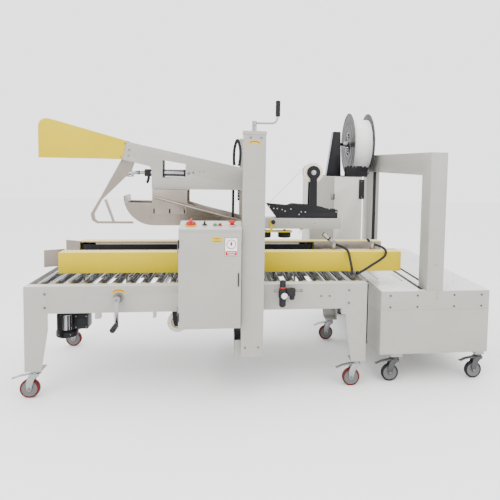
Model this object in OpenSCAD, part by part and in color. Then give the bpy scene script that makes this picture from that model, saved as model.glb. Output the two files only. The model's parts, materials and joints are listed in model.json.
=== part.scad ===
/* [Roller bed] */
// Length of the roller bed along the carton path
bed_l = 1800; // [1500:10:2200]
// Width of the roller bed over its side rails
bed_w = 850; // [760:10:1020]
// Height of the bed's top flange above the floor
bed_h = 596; // [560:2:720]
// Height of a side rail
rail_h = 141; // [110:1:160]
// Width of a rail's folded top flange
rail_flange = 60; // [40:1:70]
// Sheet thickness of rails, legs and masts
sheet_t = 3; // [2:0.5:5]
// Width of a leg at its top
leg_top_w = 117; // [90:1:140]
// Width of a leg at its foot
leg_foot_w = 83; // [75:1:90]
// Height above the floor where a leg starts to narrow
leg_taper_z = 370; // [300:5:420]
// Height of the leg feet above the floor
foot_z = 157; // [152:1:170]
// Roller radius
roller_r = 22; // [18:1:26]
// Distance from roller to roller
roller_pitch = 76; // [64:1:90]
// How far the rollers stand above the top flange
roller_proud = 2; // [0:0.5:5]

/* [Casters] */
// Caster wheel radius
wheel_r = 50; // [40:1:52]
// Caster wheel width
wheel_w = 28; // [20:1:34]
// Distance from swivel axis to wheel axle
trail = 30; // [20:1:36]
// Distance from swivel axis to the tip of the brake pedal
pedal_reach = 118; // [100:1:140]

/* [Masts and lift] */
// Place of the masts' left faces along the bed
mast_x = 1103; // [1000:1:1180]
// Mast width along the bed
mast_w = 118; // [100:1:130]
// Mast depth across the bed
mast_d = 60; // [54:1:80]
// Height of the mast foot above the floor
mast_foot_z = 220; // [215:1:300]
// Height of the mast top above the floor
mast_top_z = 1413; // [1400:1:1700]
// Radius of the lead screws
screw_r = 10; // [8:0.5:12]

/* [Head] */
// Height of the underside of the long head beam
beam_z = 1084; // [1075:1:1120]
// Width of the head beam across the bed
beam_w = 120; // [100:1:150]
// Width of the presser ski across the bed
ski_w = 200; // [170:1:220]
// Radius of a tape roll
tape_r = 62; // [50:1:66]
// Width of a tape roll
tape_w = 50; // [48:1:60]

/* [Side belts] */
// Gap between the two side belts
belt_gap = 290; // [280:1:340]
// Depth of a belt unit across the bed
unit_d = 100; // [90:1:110]
// Height of the covers' top edge
unit_top_z = 740; // [736:1:780]
// Height of the covers' bottom edge
unit_bot_z = 625; // [610:1:640]
// Radius of a belt pulley
pulley_r = 38; // [30:1:38]

/* [Control box] */
// Control box width
cbox_w = 320; // [280:1:330]
// Height of the control box's bottom edge
cbox_bot_z = 386; // [320:1:420]
// Height of the control box's front top edge
cbox_top_z = 905; // [860:1:940]

/* [Strapping unit] */
// Gap between bed and strapping table
table_gap = 89; // [60:1:160]
// Strapping table size along the carton path
table_w = 644; // [560:1:740]
// Strapping table size across the carton path
table_d = 1452; // [1440:1:1700]
// Height of the strapping table
table_z = 541; // [500:1:590]
// Underside of the table's casing above the floor
table_bot_z = 178; // [165:1:220]
// Width of the arch's columns along the carton path
arch_w = 97; // [80:1:120]
// Depth of the arch's columns and height of its top beam
arch_d = 132; // [100:1:150]
// Height of the arch's top above the floor
arch_top_z = 1328; // [1250:1:1600]
// Radius of the strap reel's flanges
reel_r = 244; // [200:1:248]
// Width of the strap reel
reel_w = 154; // [120:1:160]
// Radius of the strap coil
coil_r = 196; // [120:1:198]

/* [Fits] */
// Radial clearance of a shaft that turns in its hole
run_fit = 0.08; // [0.02:0.01:0.1]
// Clearance between parts that pass each other
pass_gap = 1; // [0.5:0.1:2]

/* [Hidden] */
$fn = 48;

// colours
paint = [0.74, 0.73, 0.70];
yellow = [0.88, 0.79, 0.27];
black = [0.10, 0.10, 0.11];
steel = [0.62, 0.60, 0.57];
chrome = [0.75, 0.75, 0.77];
red = [0.80, 0.15, 0.13];
maroon = [0.42, 0.14, 0.14];
tape = [0.85, 0.76, 0.62];
white = [0.93, 0.93, 0.92];

// places along and across the bed; the bed's front left corner is the zero point
eps = 0.01;
mid_y = bed_w / 2;
rail_bot_z = bed_h - rail_h;
mast_end_x = mast_x + mast_w;
screw_x = mast_x + mast_w / 2 - 2;
screw_y = [-mast_d / 2, bed_w + mast_d / 2];
slot_w = 44;
slot_z = [bed_h + 24, mast_top_z - 28];
cap_h = 18;
roller_z = bed_h + roller_proud - roller_r;
roller_end = rail_flange + 4;
roller_shaft_r = 6;
roller_wall = 2.5;
roller_cap = 8;
infeed_count = 10;
outfeed_count = 8;
infeed_x = 50;
outfeed_x = bed_l - 38 - (outfeed_count - 1) * roller_pitch;
function roller_gap_x(start, k) = start + (k + 0.5) * roller_pitch;
guide_x = [roller_gap_x(infeed_x, 2), roller_gap_x(outfeed_x, 2)];
guide_r = 12;
width_screw_x = roller_gap_x(infeed_x, 5);
width_screw_z = 535;
cross_z = width_screw_z;
hanger_t = 10;

// head
cross_x = [mast_x + 17, mast_end_x - 17];
cross_z0 = beam_z + 6;
cross_h = 125;
beam_y = [mid_y - beam_w / 2, mid_y + beam_w / 2];
beam_left_x = 441;
beam_left_z = beam_z + 274;
beam_right_z = beam_z + 131;
beam_step_x = 582;
guard_t = 2;
guard_tip_x = -43;
kick_x = 452;
kick_z = beam_z + 191;
kick_pin_r = 8;
clevis_x = 450;
clevis_z = beam_z + 84;
trunnion_x = 795;
trunnion_z = beam_z + 94;
barrel_r = 23;
rod_r = 9;
clevis_pin_r = 4;
open_pin_r = clevis_pin_r + 7;
ski_z = beam_z - 210;
ski_y = [mid_y - ski_w / 2, mid_y + ski_w / 2];
channel_z = [beam_z - 234, beam_z - 169];
channel_y = [mid_y - 50, mid_y + 50];
channel_end_x = 1724;
tape_x = 1548;
lower_roll_x = 731;
lower_roll_z = 272;
spindle_r = 9;
tape_z = beam_z + 112;
tape_core_r = 38;
press_x = [1253, 1377];
press_r = 40;
press_z = [beam_z - 293, beam_z - 259];
press_shaft_r = 5;

// side belt units, given for the near side and mirrored for the far side
unit_in = mid_y - belt_gap / 2;
unit_out = unit_in - unit_d;
unit_x = [115, 2050];
belt_t = 4;
belt_y = unit_in - belt_t - pulley_r;
pulley_x = [164, 1541];
belt_z = [unit_bot_z + 17, unit_top_z - 17];
post_r = 8;
top_plate_z = unit_top_z - guard_t - 5;
strip_x = [1590, 2042];
lead_r = 8;

// control box
cbox_x = [mast_x - 3 - cbox_w, mast_x - 3];
cbox_front_y = -90;
cbox_back_y = rail_flange - 5;
cbox_rise = 28;
cbox_t = 2;
panel_tilt = atan(cbox_rise / (cbox_back_y - cbox_front_y));
door_t = 2;
door_z = [cbox_bot_z + 2, cbox_top_z - 15];
door_hinge_r = 4;
hinge_gap = 0.8;
knuckle_h = 44;
cbox_hinge_y = cbox_front_y - door_hinge_r - hinge_gap;
panel_hole_gap = 0.3;
switch_x = [cbox_x[0] + 58, cbox_x[0] + 128, cbox_x[0] + 182, cbox_x[0] + 208, cbox_x[0] + 270];
switch_y = -25;
air_x = 1322;
air_y = -46;
air_z = [532, 583];
air_neck_r = 9;

// strapping unit
base_x = [bed_l + table_gap, bed_l + table_gap + table_w];
base_y = [20, 20 + table_d];
arch_x = [base_x[0] + 264, base_x[0] + 264 + arch_w];
strap_x = arch_x[0] + 58;
cab_x = [1629, 2021];
cab_y = [bed_w + 160, bed_w + 560];
cab_top_z = 1160;
cab_t = 2;
cab_door_x = 1808;
cab_hinge_y = cab_y[0] - door_hinge_r - hinge_gap;
reel_x = [1960, 1960 + reel_w];
reel_y = cab_y[0] + 250;
reel_z = cab_top_z + reel_r + 4;
reel_shaft_r = 12;
reel_hub_r = 100;
stand_x = [1862, 1866];
stand_y = cab_y[0] + 100;
stand_h = 337;
stand_foot_x = [1764, 1878];
stand_top_x = [1811, 1868];
stand_t = 4;

// casters
bed_stem = [leg_foot_w / 2, leg_foot_w / 2];
stem_x = [bed_stem[0], bed_l - bed_stem[0]];
stem_y = [bed_stem[1], bed_w - bed_stem[1]];
s_stem_x = [base_x[0] + 110, base_x[1] - 22];
s_stem_y = [base_y[0] + 62, base_y[1] - 62];
fork_t = 3;
fork_gap = 3;
fork_top_z = 2 * wheel_r + 14;
axle_r = 5;

// the part's origin is the middle of its outer box, on the floor
crank_grip_y = -150;
box_x = [stem_x[0] - pedal_reach, base_x[1]];
box_y = [crank_grip_y, base_y[1]];
origin = [(box_x[0] + box_x[1]) / 2, (box_y[0] + box_y[1]) / 2, 0];

module block(x, y, z) {
  translate([x[0], y[0], z[0]])
    cube([x[1] - x[0], y[1] - y[0], z[1] - z[0]]);
}

module rod_x(r, x, y, z) {
  translate([x[0], y, z])
    rotate([0, 90, 0])
      cylinder(r = r, h = x[1] - x[0]);
}

module rod_y(r, x, y, z) {
  translate([x, y[1], z])
    rotate([90, 0, 0])
      cylinder(r = r, h = y[1] - y[0]);
}

module rod_z(r, x, y, z) {
  translate([x, y, z[0]])
    cylinder(r = r, h = z[1] - z[0]);
}

// a straight round bar between two points
module bar(p, q, r) {
  d = q - p;
  translate(p)
    rotate([0, acos(d[2] / norm(d)), atan2(d[1], d[0])])
      cylinder(r = r, h = norm(d));
}

// an outline drawn in X and Z, given thickness along Y
module upright(y, outline) {
  translate([0, y[1], 0])
    rotate([90, 0, 0])
      linear_extrude(y[1] - y[0])
        polygon(outline);
}

// an outline drawn in Y and Z, given thickness along X
module side_plate(x, outline) {
  translate([x[0], 0, 0])
    rotate([90, 0, 90])
      linear_extrude(x[1] - x[0])
        polygon(outline);
}

module mirror_y() {
  translate([0, bed_w, 0])
    mirror([0, 1, 0])
      children();
}

module both_sides() {
  children();
  mirror_y() children();
}

function arc(c, r, a0, a1, n) = [
  for (i = [0:n])
    let(a = a0 + (a1 - a0) * i / n)
    c + r * [cos(a), sin(a)]
];

// roller bed

module rail_channel() {
  x = [leg_top_w, bed_l - leg_top_w];
  difference() {
    union() {
      block(x, [0, sheet_t], [rail_bot_z, bed_h]);
      block(x, [0, rail_flange], [bed_h - sheet_t, bed_h]);
      block(x, [0, rail_flange - 20], [rail_bot_z, rail_bot_z + sheet_t]);
    }
    rod_y(screw_r + pass_gap, width_screw_x, [-1, sheet_t + 1], width_screw_z);
  }
}

module rail_gussets() {
  gusset_h = 32;
  for (x = [[349, 376], [642, 656], [bed_l - leg_top_w - 24, bed_l - leg_top_w]])
    block(x, [0, rail_flange - 25], [rail_bot_z - gusset_h, rail_bot_z + eps]);
}

module bed_rails() {
  end_h = 70;
  tie_z = [rail_bot_z + 20, rail_bot_z + 50];
  color(paint) {
    both_sides() {
      rail_channel();
      rail_gussets();
    }
    for (x = [[0, sheet_t], [bed_l - sheet_t, bed_l]])
      block(x, [leg_top_w, bed_w - leg_top_w], [bed_h - end_h, bed_h]);
    for (y = [bed_w * 0.36, bed_w * 0.76])
      block([bed_l, base_x[0]], [y, y + 40], [bed_h - end_h, bed_h - end_h + 14]);
    for (x = [infeed_x + 560, mast_end_x + 60])
      block([x, x + 40], [sheet_t, bed_w - sheet_t], [tie_z[0] - 10, tie_z[1]]);
  }
}

module leg() {
  face = [
    [0, foot_z], [leg_foot_w, foot_z], [leg_top_w, leg_taper_z],
    [leg_top_w, bed_h], [0, bed_h]
  ];
  upright([0, sheet_t], face);
  side_plate([0, sheet_t], face);
  block([0, leg_foot_w], [0, leg_foot_w], [foot_z - 6, foot_z]);
  block([0, leg_top_w], [0, rail_flange], [bed_h - sheet_t, bed_h]);
}

module bed_legs() {
  color(paint)
    both_sides() {
      leg();
      translate([bed_l, 0, 0])
        mirror([1, 0, 0])
          leg();
    }
}

// a tube with a closed near end, on its shaft
module roller(x) {
  difference() {
    rod_y(roller_r, x, [roller_end, bed_w - roller_end], roller_z);
    rod_y(roller_r - roller_wall, x, [roller_end + roller_cap, bed_w], roller_z);
  }
  rod_y(roller_shaft_r, x, [sheet_t, bed_w - sheet_t], roller_z);
}

module bed_rollers() {
  color(chrome) {
    for (i = [0:infeed_count - 1])
      roller(infeed_x + i * roller_pitch);
    for (i = [0:outfeed_count - 1])
      roller(outfeed_x + i * roller_pitch);
    for (x = guide_x)
      rod_y(guide_r, x, [sheet_t, bed_w - sheet_t], cross_z);
  }
}

// masts

module mast() {
  x = [mast_x, mast_end_x];
  difference() {
    union() {
      block(x, [-mast_d, 0], [mast_foot_z, mast_top_z]);
      block([x[0] - 3, x[1] + 3], [-mast_d - 3, 0], [mast_top_z - cap_h, mast_top_z]);
    }
    block([x[0] + sheet_t, x[1] - sheet_t], [sheet_t - mast_d, -sheet_t],
          [mast_foot_z + sheet_t, mast_top_z - sheet_t]);
    block([screw_x - slot_w / 2, screw_x + slot_w / 2], [-sheet_t - 1, 1], slot_z);
    rod_z(screw_r + pass_gap / 2, screw_x, screw_y[0], [mast_top_z - 5, mast_top_z + 1]);
  }
}

module mast_columns() {
  guard_x = [mast_x - 33, mast_end_x - 16];
  guard_z = [mast_foot_z - 20, mast_foot_z + 72];
  color(paint)
    both_sides() mast();
  color(black)
    difference() {
      block(guard_x, [pass_gap / 2, bed_w - pass_gap / 2], guard_z);
      block([guard_x[0] + sheet_t, guard_x[1] - sheet_t], [sheet_t + 1, bed_w - sheet_t - 1],
            [guard_z[0] - 1, guard_z[1] - sheet_t]);
    }
}

module screw(y, z) {
  rod_z(screw_r, screw_x, y, z);
  rod_z(screw_r + 12, screw_x, y, [z[0], z[0] + 12]);
}

module head_crank() {
  arm_z = mast_top_z + 43;
  grip_x = screw_x + 122;
  color(chrome) {
    screw(screw_y[0], [mast_foot_z + 12, mast_top_z + 4]);
    rod_z(screw_r + 2, screw_x, screw_y[0], [mast_top_z + pass_gap, mast_top_z + 53]);
    bar([screw_x, screw_y[0], arm_z], [grip_x - 10, screw_y[0], arm_z + 5], 5.5);
    translate([grip_x - 10, screw_y[0], arm_z + 5])
      sphere(r = 6);
    bar([grip_x - 10, screw_y[0], arm_z + 5], [grip_x, screw_y[0], arm_z + 40], 5.5);
  }
  color(black)
    rod_z(13, grip_x, screw_y[0], [arm_z + 36, arm_z + 119]);
}

module rear_screw() {
  color(chrome)
    screw(screw_y[1], [mast_foot_z + 12, mast_top_z - sheet_t - 4]);
}

// controls

module cbox_outline(grow) {
  polygon([
    [cbox_front_y - grow, cbox_bot_z - grow],
    [cbox_back_y + grow, cbox_bot_z - grow],
    [cbox_back_y + grow, rail_bot_z - 4 + grow],
    [-pass_gap + grow, rail_bot_z - 4 + grow],
    [-pass_gap + grow, bed_h + 4 - grow],
    [cbox_back_y + grow, bed_h + 4 - grow],
    [cbox_back_y + grow, cbox_top_z + cbox_rise + grow],
    [cbox_front_y - grow, cbox_top_z + grow]
  ]);
}

module on_panel(i, lift = 0) {
  z = cbox_top_z + cbox_rise * (switch_y - cbox_front_y) / (cbox_back_y - cbox_front_y);
  translate([switch_x[i], switch_y, z])
    rotate([panel_tilt, 0, 0])
      translate([0, 0, lift])
        children();
}

module control_box() {
  holes = [11, 11, 8, 8, 11];
  color(paint)
    difference() {
      translate([cbox_x[0], 0, 0])
        rotate([90, 0, 90])
          linear_extrude(cbox_w)
            cbox_outline(0);
      translate([cbox_x[0] + cbox_t, 0, 0])
        rotate([90, 0, 90])
          linear_extrude(cbox_w - 2 * cbox_t)
            cbox_outline(-cbox_t);
      block([cbox_x[0] + 12, cbox_x[1] - 12], [cbox_front_y - 1, cbox_front_y + cbox_t + 1],
            [door_z[0] + 10, door_z[1] - 10]);
      for (i = [0:4])
        on_panel(i, -10)
          cylinder(r = holes[i] + panel_hole_gap, h = 20);
    }
}

module control_door() {
  x = [cbox_x[0] + 1, cbox_x[1] - 1];
  y = cbox_front_y - pass_gap / 2;
  color(paint) {
    block(x, [y - door_t, y], door_z);
    block([x[1] - 16, x[1] - 10], [y - door_t - 7, y - door_t + eps],
          [door_z[0] + 220, door_z[0] + 290]);
    for (z = [door_z[0] + 40, door_z[1] - 40 - knuckle_h])
      rod_z(door_hinge_r, x[0], cbox_hinge_y, [z, z + knuckle_h]);
  }
}

// the rotary switch's square plate stays with its handle for simplicity of the panel hole
module main_switch() {
  color(red)
    on_panel(0) {
      translate([0, 0, -6]) cylinder(r = 11, h = 14);
      translate([0, 0, pass_gap]) cylinder(r = 32, h = 5);
      translate([0, 0, 5]) cylinder(r = 25, h = 12);
      translate([-7, -24, 15]) cube([14, 48, 18]);
    }
}

module mode_selector() {
  color(black)
    on_panel(1) {
      translate([0, 0, -6]) cylinder(r = 11, h = 14);
      translate([0, 0, pass_gap]) cylinder(r = 14, h = 7);
      translate([-5, -14, 7]) cube([10, 28, 14]);
    }
}

module push_button(i) {
  on_panel(i) {
    translate([0, 0, -8]) cylinder(r = 8, h = 16);
    translate([0, 0, 7]) cylinder(r = 10, h = 4);
  }
}

module start_button() {
  color([0.20, 0.50, 0.30]) push_button(2);
}

module stop_button() {
  color(red) push_button(3);
}

module emergency_stop() {
  color(red)
    on_panel(4) {
      translate([0, 0, -8]) cylinder(r = 11, h = 24);
      translate([0, 0, 15]) cylinder(r1 = 14, r2 = 20, h = 6);
      translate([0, 0, 21]) cylinder(r = 20, h = 5);
    }
}

// drive, tape and air

module drive_motor() {
  x = 150;
  y = 208;
  body_r = 54;
  flange_r = 60;
  base_z = 268;
  top_z = 400;
  arm_w = 30;
  color(black) {
    rod_z(flange_r, x, y, [base_z, base_z + 42]);
    rod_z(body_r, x, y, [base_z + 42 - eps, top_z]);
    block([x + body_r - 8, x + body_r + 66], [y - 44, y + 44], [base_z + 52, top_z]);
    block([x - 40, x + body_r + 60], [y - 40, y + 40], [top_z - eps, top_z + 8]);
    block([x - 30, x - 30 + arm_w], [sheet_t, y + 40], [top_z, rail_bot_z - pass_gap]);
  }
}

module tape_spindle(x, y, z) {
  rod_y(spindle_r, x, y, z);
}

module lower_tape_head() {
  plate = [
    [690, 440], [lower_roll_x - 24, lower_roll_z], [lower_roll_x - 16, lower_roll_z - 22],
    [lower_roll_x + 16, lower_roll_z - 22], [lower_roll_x + 24, lower_roll_z],
    [770, 420], [1050, 440], [1050, rail_bot_z + 115], [800, rail_bot_z + 115], [760, 470]
  ];
  color(black) {
    for (y = [[mid_y - 40, mid_y - 36], [mid_y + 36, mid_y + 40]])
      upright(y, plate);
    tape_spindle(lower_roll_x, [mid_y - 36 - eps, mid_y + 36 + eps], lower_roll_z);
    for (p = [[830, 540], [900, 556], [1000, 540], [1020, 470], [760, 445]])
      rod_y(14, p[0], [mid_y - 36 - eps, mid_y + 36 + eps], p[1]);
    block([930, 1062], [sheet_t, bed_w - sheet_t], [rail_bot_z + 5, rail_bot_z + 25]);
  }
}

module tape_roll(x, z) {
  difference() {
    rod_y(tape_r, x, [mid_y - tape_w / 2, mid_y + tape_w / 2], z);
    rod_y(spindle_r + run_fit, x, [mid_y - tape_w, mid_y + tape_w], z);
  }
}

module lower_tape_roll() {
  color(tape) tape_roll(lower_roll_x, lower_roll_z);
}

module air_regulator() {
  color(black) {
    block([air_x - 21, air_x + 21], [air_y - 22, air_y + 22], air_z);
    block([air_x + 21, air_x + 68], [air_y - 18, air_y + 18], [air_z[0] + 12, air_z[1]]);
    rod_z(18, air_x, air_y, [air_z[0] - 50, air_z[0] + eps]);
    rod_z(5, air_x, air_y, [air_z[0] - 64, air_z[0] - 49]);
    rod_z(15, air_x + 51, air_y, [air_z[0] - 12, air_z[0] + 13]);
    rod_z(air_neck_r, air_x, air_y, [air_z[1] - eps, air_z[1] + 26]);
    rod_y(19, air_x + 7, [air_y - 32, air_y - 21], 549);
    rod_x(8, [air_x - 48, air_x - 20], air_y, 570);
    rod_x(8, [air_x + 67, air_x + 110], air_y, 570);
    block([air_x - 16, air_x + 16], [air_y + 22 - eps, 0], [air_z[0] + 6, air_z[1] - 6]);
  }
}

module regulator_knob() {
  color(black)
    difference() {
      rod_z(17, air_x, air_y, [air_z[1] + pass_gap, air_z[1] + 45]);
      rod_z(air_neck_r + run_fit, air_x, air_y, [air_z[1], air_z[1] + 30]);
    }
}

// head

module carriage() {
  z = [cross_z0 - 10, cross_z0 + cross_h + 5];
  inner = [screw_x - mast_w / 2 + 12, screw_x + mast_w / 2 - 12];
  neck = [screw_x - slot_w / 2 + 2, screw_x + slot_w / 2 - 2];
  difference() {
    union() {
      block(inner, [8 - mast_d, -8], z);
      block(neck, [-9, 6 + eps], z);
      block(cross_x, [6, 10], [cross_z0, cross_z0 + cross_h]);
    }
    rod_z(screw_r + pass_gap / 2, screw_x, screw_y[0], [z[0] - 1, z[1] + 1]);
  }
}

module outfeed_channel() {
  difference() {
    block([cross_x[0], channel_end_x], channel_y, channel_z);
    block([cross_x[0] - 1, channel_end_x + 1], [channel_y[0] + sheet_t, channel_y[1] - sheet_t],
          [channel_z[0] - 1, channel_z[1] - sheet_t]);
  }
}

module head_crossbeam() {
  color(paint) {
    both_sides() carriage();
    difference() {
      block(cross_x, [6, bed_w - 6], [cross_z0, cross_z0 + cross_h]);
      block([cross_x[0] + 4, cross_x[1] - 4], [10, bed_w - 10],
            [cross_z0 + 4, cross_z0 + cross_h - 4]);
      block([cross_x[0] + 20, cross_x[1] - 20], [mid_y - 100, mid_y + 100],
            [cross_z0 + cross_h - 5, cross_z0 + cross_h + 1]);
    }
    difference() {
      block(cross_x, [mid_y - 40, mid_y + 40], [channel_z[1] - 1, cross_z0 + 1]);
      block([cross_x[0] + 4, cross_x[1] - 4], [mid_y - 41, mid_y + 41],
            [channel_z[1] + 4, cross_z0 - 4]);
    }
    outfeed_channel();
  }
}

function beam_outline() = concat(
  [
    [beam_left_x - 47, beam_left_z + 9.5], [cross_x[0], beam_right_z],
    [cross_x[0], beam_z], [beam_step_x, beam_z]
  ],
  arc([beam_step_x - 32, beam_z + 106], 32, 0, 60, 4),
  [[beam_left_x - 27, beam_z + 169], [beam_left_x - 47, beam_z + 173]]
);

module head_beam() {
  window = [[644, beam_z + 67], [777, beam_z + 67], [777, beam_z + 149], [644, beam_z + 170]];
  inner = [beam_y[0] + sheet_t, beam_y[1] - sheet_t];
  color(paint)
    difference() {
      upright(beam_y, beam_outline());
      translate([0, 0, -sheet_t])
        upright(inner, beam_outline());
      block([beam_left_x - 48, beam_left_x - 30], inner, [beam_z + 165, beam_left_z + 2]);
      block([beam_step_x - 60, cross_x[0] - sheet_t], inner, [beam_z - 1, beam_z + 40]);
      upright([beam_y[0] - 1, beam_y[1] + 1], window);
      rod_y(kick_pin_r + run_fit, kick_x, [beam_y[0] - 1, beam_y[1] + 1], kick_z);
      rod_y(kick_pin_r + run_fit, trunnion_x, [beam_y[0] - 1, beam_y[1] + 1], trunnion_z);
    }
}

module head_guard() {
  gap = 0.5;
  y = [beam_y[0] - gap - guard_t, beam_y[1] + gap + guard_t];
  slope = (beam_left_z - beam_right_z) / (cross_x[0] - beam_left_x);
  top = beam_left_z + gap + guard_t;
  outline = concat(
    [[beam_left_x, top], [beam_left_x - 25, beam_z + 171], [guard_tip_x, beam_z + 172]],
    arc([guard_tip_x + 45, top + (beam_left_x - guard_tip_x - 45) * 0.27 - 45], 45, 180, 75, 5)
  );
  color(yellow)
    difference() {
      upright(y, outline);
      translate([guard_t, 0, -guard_t])
        upright([y[0] + guard_t, y[1] - guard_t], outline);
    }
}

// flap kicker: lever, its air cylinder and rod
module kicker_lever() {
  hang = [kick_x, kick_z];
  plate = [
    hang + [-30, 18], hang + [26, 18], hang + [23, -41], hang + [6, -90],
    hang + [-160, -258], hang + [-174, -250]
  ];
  foot = [
    hang + [-174, -250], hang + [-162, -256], hang + [-208, -345], hang + [-202, -378],
    hang + [-186, -390], hang + [14, -390], hang + [14, -402], hang + [-190, -402],
    hang + [-220, -382], hang + [-227, -346]
  ];
  brace = [hang + [-150, -262], hang + [-138, -258], hang + [-92, -391], hang + [-104, -391]];
  ear = [
    hang + [-24, -76], hang + [18, -90], hang + [18, -122], hang + [-14, -124], hang + [-40, -118]
  ];
  y = [mid_y - 4, mid_y + 4];
  color(steel)
    difference() {
      union() {
        upright(y, plate);
        upright([mid_y - 10, mid_y + 10], foot);
        upright([mid_y - 10, mid_y + 10], brace);
        upright(y, ear);
        rod_y(kick_pin_r, kick_x, [beam_y[0], beam_y[1]], kick_z);
        rod_y(kick_pin_r + 8, kick_x, [mid_y - 30, mid_y + 30], kick_z);
      }
      rod_y(open_pin_r, clevis_x, [mid_y - 5, mid_y + 5], clevis_z);
    }
}
module kicker_rod() {
  ear = 4;
  y_in = 4 + pass_gap;
  color(chrome) {
    rod_x(rod_r, [clevis_x + 40, 690], mid_y, trunnion_z);
    rod_x(barrel_r - 5 - 0.4, [686, 700], mid_y, trunnion_z);
    for (y = [[mid_y - y_in - ear, mid_y - y_in], [mid_y + y_in, mid_y + y_in + ear]])
      block([clevis_x - 10, clevis_x + 44], y, [clevis_z - 6, trunnion_z + 6]);
    block([clevis_x + 38, clevis_x + 50], [mid_y - y_in - ear, mid_y + y_in + ear],
          [trunnion_z - rod_r - 1, trunnion_z + rod_r + 1]);
    rod_y(clevis_pin_r, clevis_x, [mid_y - y_in - ear, mid_y + y_in + ear], clevis_z);
  }
}

module kicker_cylinder() {
  color(chrome)
    difference() {
      union() {
        rod_x(barrel_r, [571, 800], mid_y, trunnion_z);
        rod_x(barrel_r - 2, [536, 572], mid_y, trunnion_z);
        rod_y(kick_pin_r, trunnion_x, beam_y, trunnion_z);
        rod_z(7, 555, mid_y, [trunnion_z - 66, trunnion_z - 15]);
      }
      rod_x(barrel_r - 5, [580, 780], mid_y, trunnion_z);
      rod_x(rod_r + 0.3, [530, 590], mid_y, trunnion_z);
    }
}

// presser ski with its hanging bracket and the two flap guide bars
module ski_presser() {
  lip = 3;
  curve_r = 170;
  bend = [600, ski_z + curve_r];
  outer = arc(bend, curve_r, 180, 270, 10);
  inner = arc(bend, curve_r - lip, 270, 180, 10);
  end_x = cross_x[0] - 10;
  bracket_x = [591, 790];
  side = concat(
    arc(bend, curve_r - lip, 193, 270, 9),
    [[end_x, ski_z + lip], [end_x, ski_z + 33], [bracket_x[1], ski_z + 130]]
  );
  slots = [602, 691, 776];
  color(steel)
    difference() {
      union() {
        upright(ski_y, concat(outer, [[end_x, ski_z], [end_x, ski_z + lip]], inner));
        for (y = [[ski_y[0], ski_y[0] + lip], [ski_y[1] - lip, ski_y[1]]])
          upright(y, side);
        for (y = [[ski_y[0] - lip, ski_y[0]], [ski_y[1], ski_y[1] + lip]])
          block(bracket_x, y, [ski_z + 66, beam_z - 1]);
        block(bracket_x, [ski_y[0] - lip, ski_y[1] + lip], [beam_z - 4, beam_z - 0.5]);
      }
      for (x = slots)
        block([x - 4, x + 4], [ski_y[0] - 10, ski_y[1] + 10], [ski_z + 70, ski_z + 98]);
    }
  color(steel)
    both_sides()
      bar([606, ski_y[0] - lip - 4, ski_z + 164], [end_x, ski_y[0] - 68, ski_z + 33], 6);
}

function tape_plate() = [
  [1259, channel_z[1] + 87], [1391, channel_z[1] + 76], [1422, channel_z[1] + 87],
  [tape_x - 24, channel_z[1] + 80], [tape_x - 21, tape_z], [tape_x + 21, tape_z],
  [tape_x + 24, channel_z[1] + 74], [1622, channel_z[1] + 64], [1640, channel_z[1] + 56],
  [1703, channel_z[1] + 53], [1703, channel_z[1] + 1], [1323, channel_z[1] + 1]
];

module upper_tape_head() {
  holes = [
    [1276, 72], [1304, 58], [1326, 57], [1356, 51], [1374, 42], [1410, 55],
    [1474, 38], [1500, 37], [1462, 22], [1694, 40]
  ];
  color(black) {
    difference() {
      for (y = [[mid_y - 40, mid_y - 36], [mid_y + 36, mid_y + 40]])
        union() {
          upright(y, tape_plate());
          rod_y(42, tape_x, y, tape_z);
        }
      for (h = holes)
        rod_y(4, h[0], [mid_y - 45, mid_y + 45], channel_z[1] + h[1]);
    }
    tape_spindle(tape_x, [mid_y - 46, mid_y + 42], tape_z);
    for (p = [[1340, 40], [1440, 50], [1580, 30], [1660, 30]])
      rod_y(9, p[0], [mid_y - 36 - eps, mid_y + 36 + eps], channel_z[1] + p[1]);
    block([1330, 1700], [mid_y - 38, mid_y + 38], [channel_z[1], channel_z[1] + 5]);
  }
}

module upper_tape_roll() {
  color(tape) tape_roll(tape_x, tape_z);
}

module press_frame() {
  color(yellow)
    difference() {
      union() {
        block([1282, 1298], [channel_y[0] - 12, channel_y[0] - pass_gap / 2],
              [press_z[1] + 4, channel_z[1] - 10]);
        block([1240, 1420], [channel_y[0] - 12, mid_y + 14], [press_z[1] + 4, press_z[1] + 9]);
        for (x = press_x)
          rod_z(press_shaft_r, x, mid_y, [press_z[0] + 2, press_z[1] + 5]);
      }
    }
}

module press_roller(x) {
  color(black)
    difference() {
      rod_z(press_r, x, mid_y, press_z);
      rod_z(press_shaft_r + run_fit, x, mid_y, [press_z[0] - 1, press_z[1] + 1]);
    }
}

// swept hoses

function hose_frame(p, i) =
  let(
    n = len(p),
    t = p[min(i + 1, n - 1)] - p[max(i - 1, 0)],
    d = t / norm(t),
    ref = abs(d[0]) < 0.9 ? [1, 0, 0] : [0, 1, 0],
    u = cross(d, ref),
    v = u / norm(u)
  )
  [v, cross(d, v)];

module hose(p, r, sides = 10) {
  n = len(p);
  rings = [
    for (i = [0:n - 1])
      let(f = hose_frame(p, i))
      for (k = [0:sides - 1])
        p[i] + r * (f[0] * cos(360 * k / sides) + f[1] * sin(360 * k / sides))
  ];
  walls = [
    for (i = [0:n - 2], k = [0:sides - 1])
      let(a = i * sides + k, b = i * sides + (k + 1) % sides)
      [a, a + sides, b + sides, b]
  ];
  polyhedron(
    points = rings,
    faces = concat(
      walls,
      [[for (k = [0:sides - 1]) k]],
      [[for (k = [sides - 1:-1:0]) (n - 1) * sides + k]]
    ),
    convexity = 6
  );
}

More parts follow.
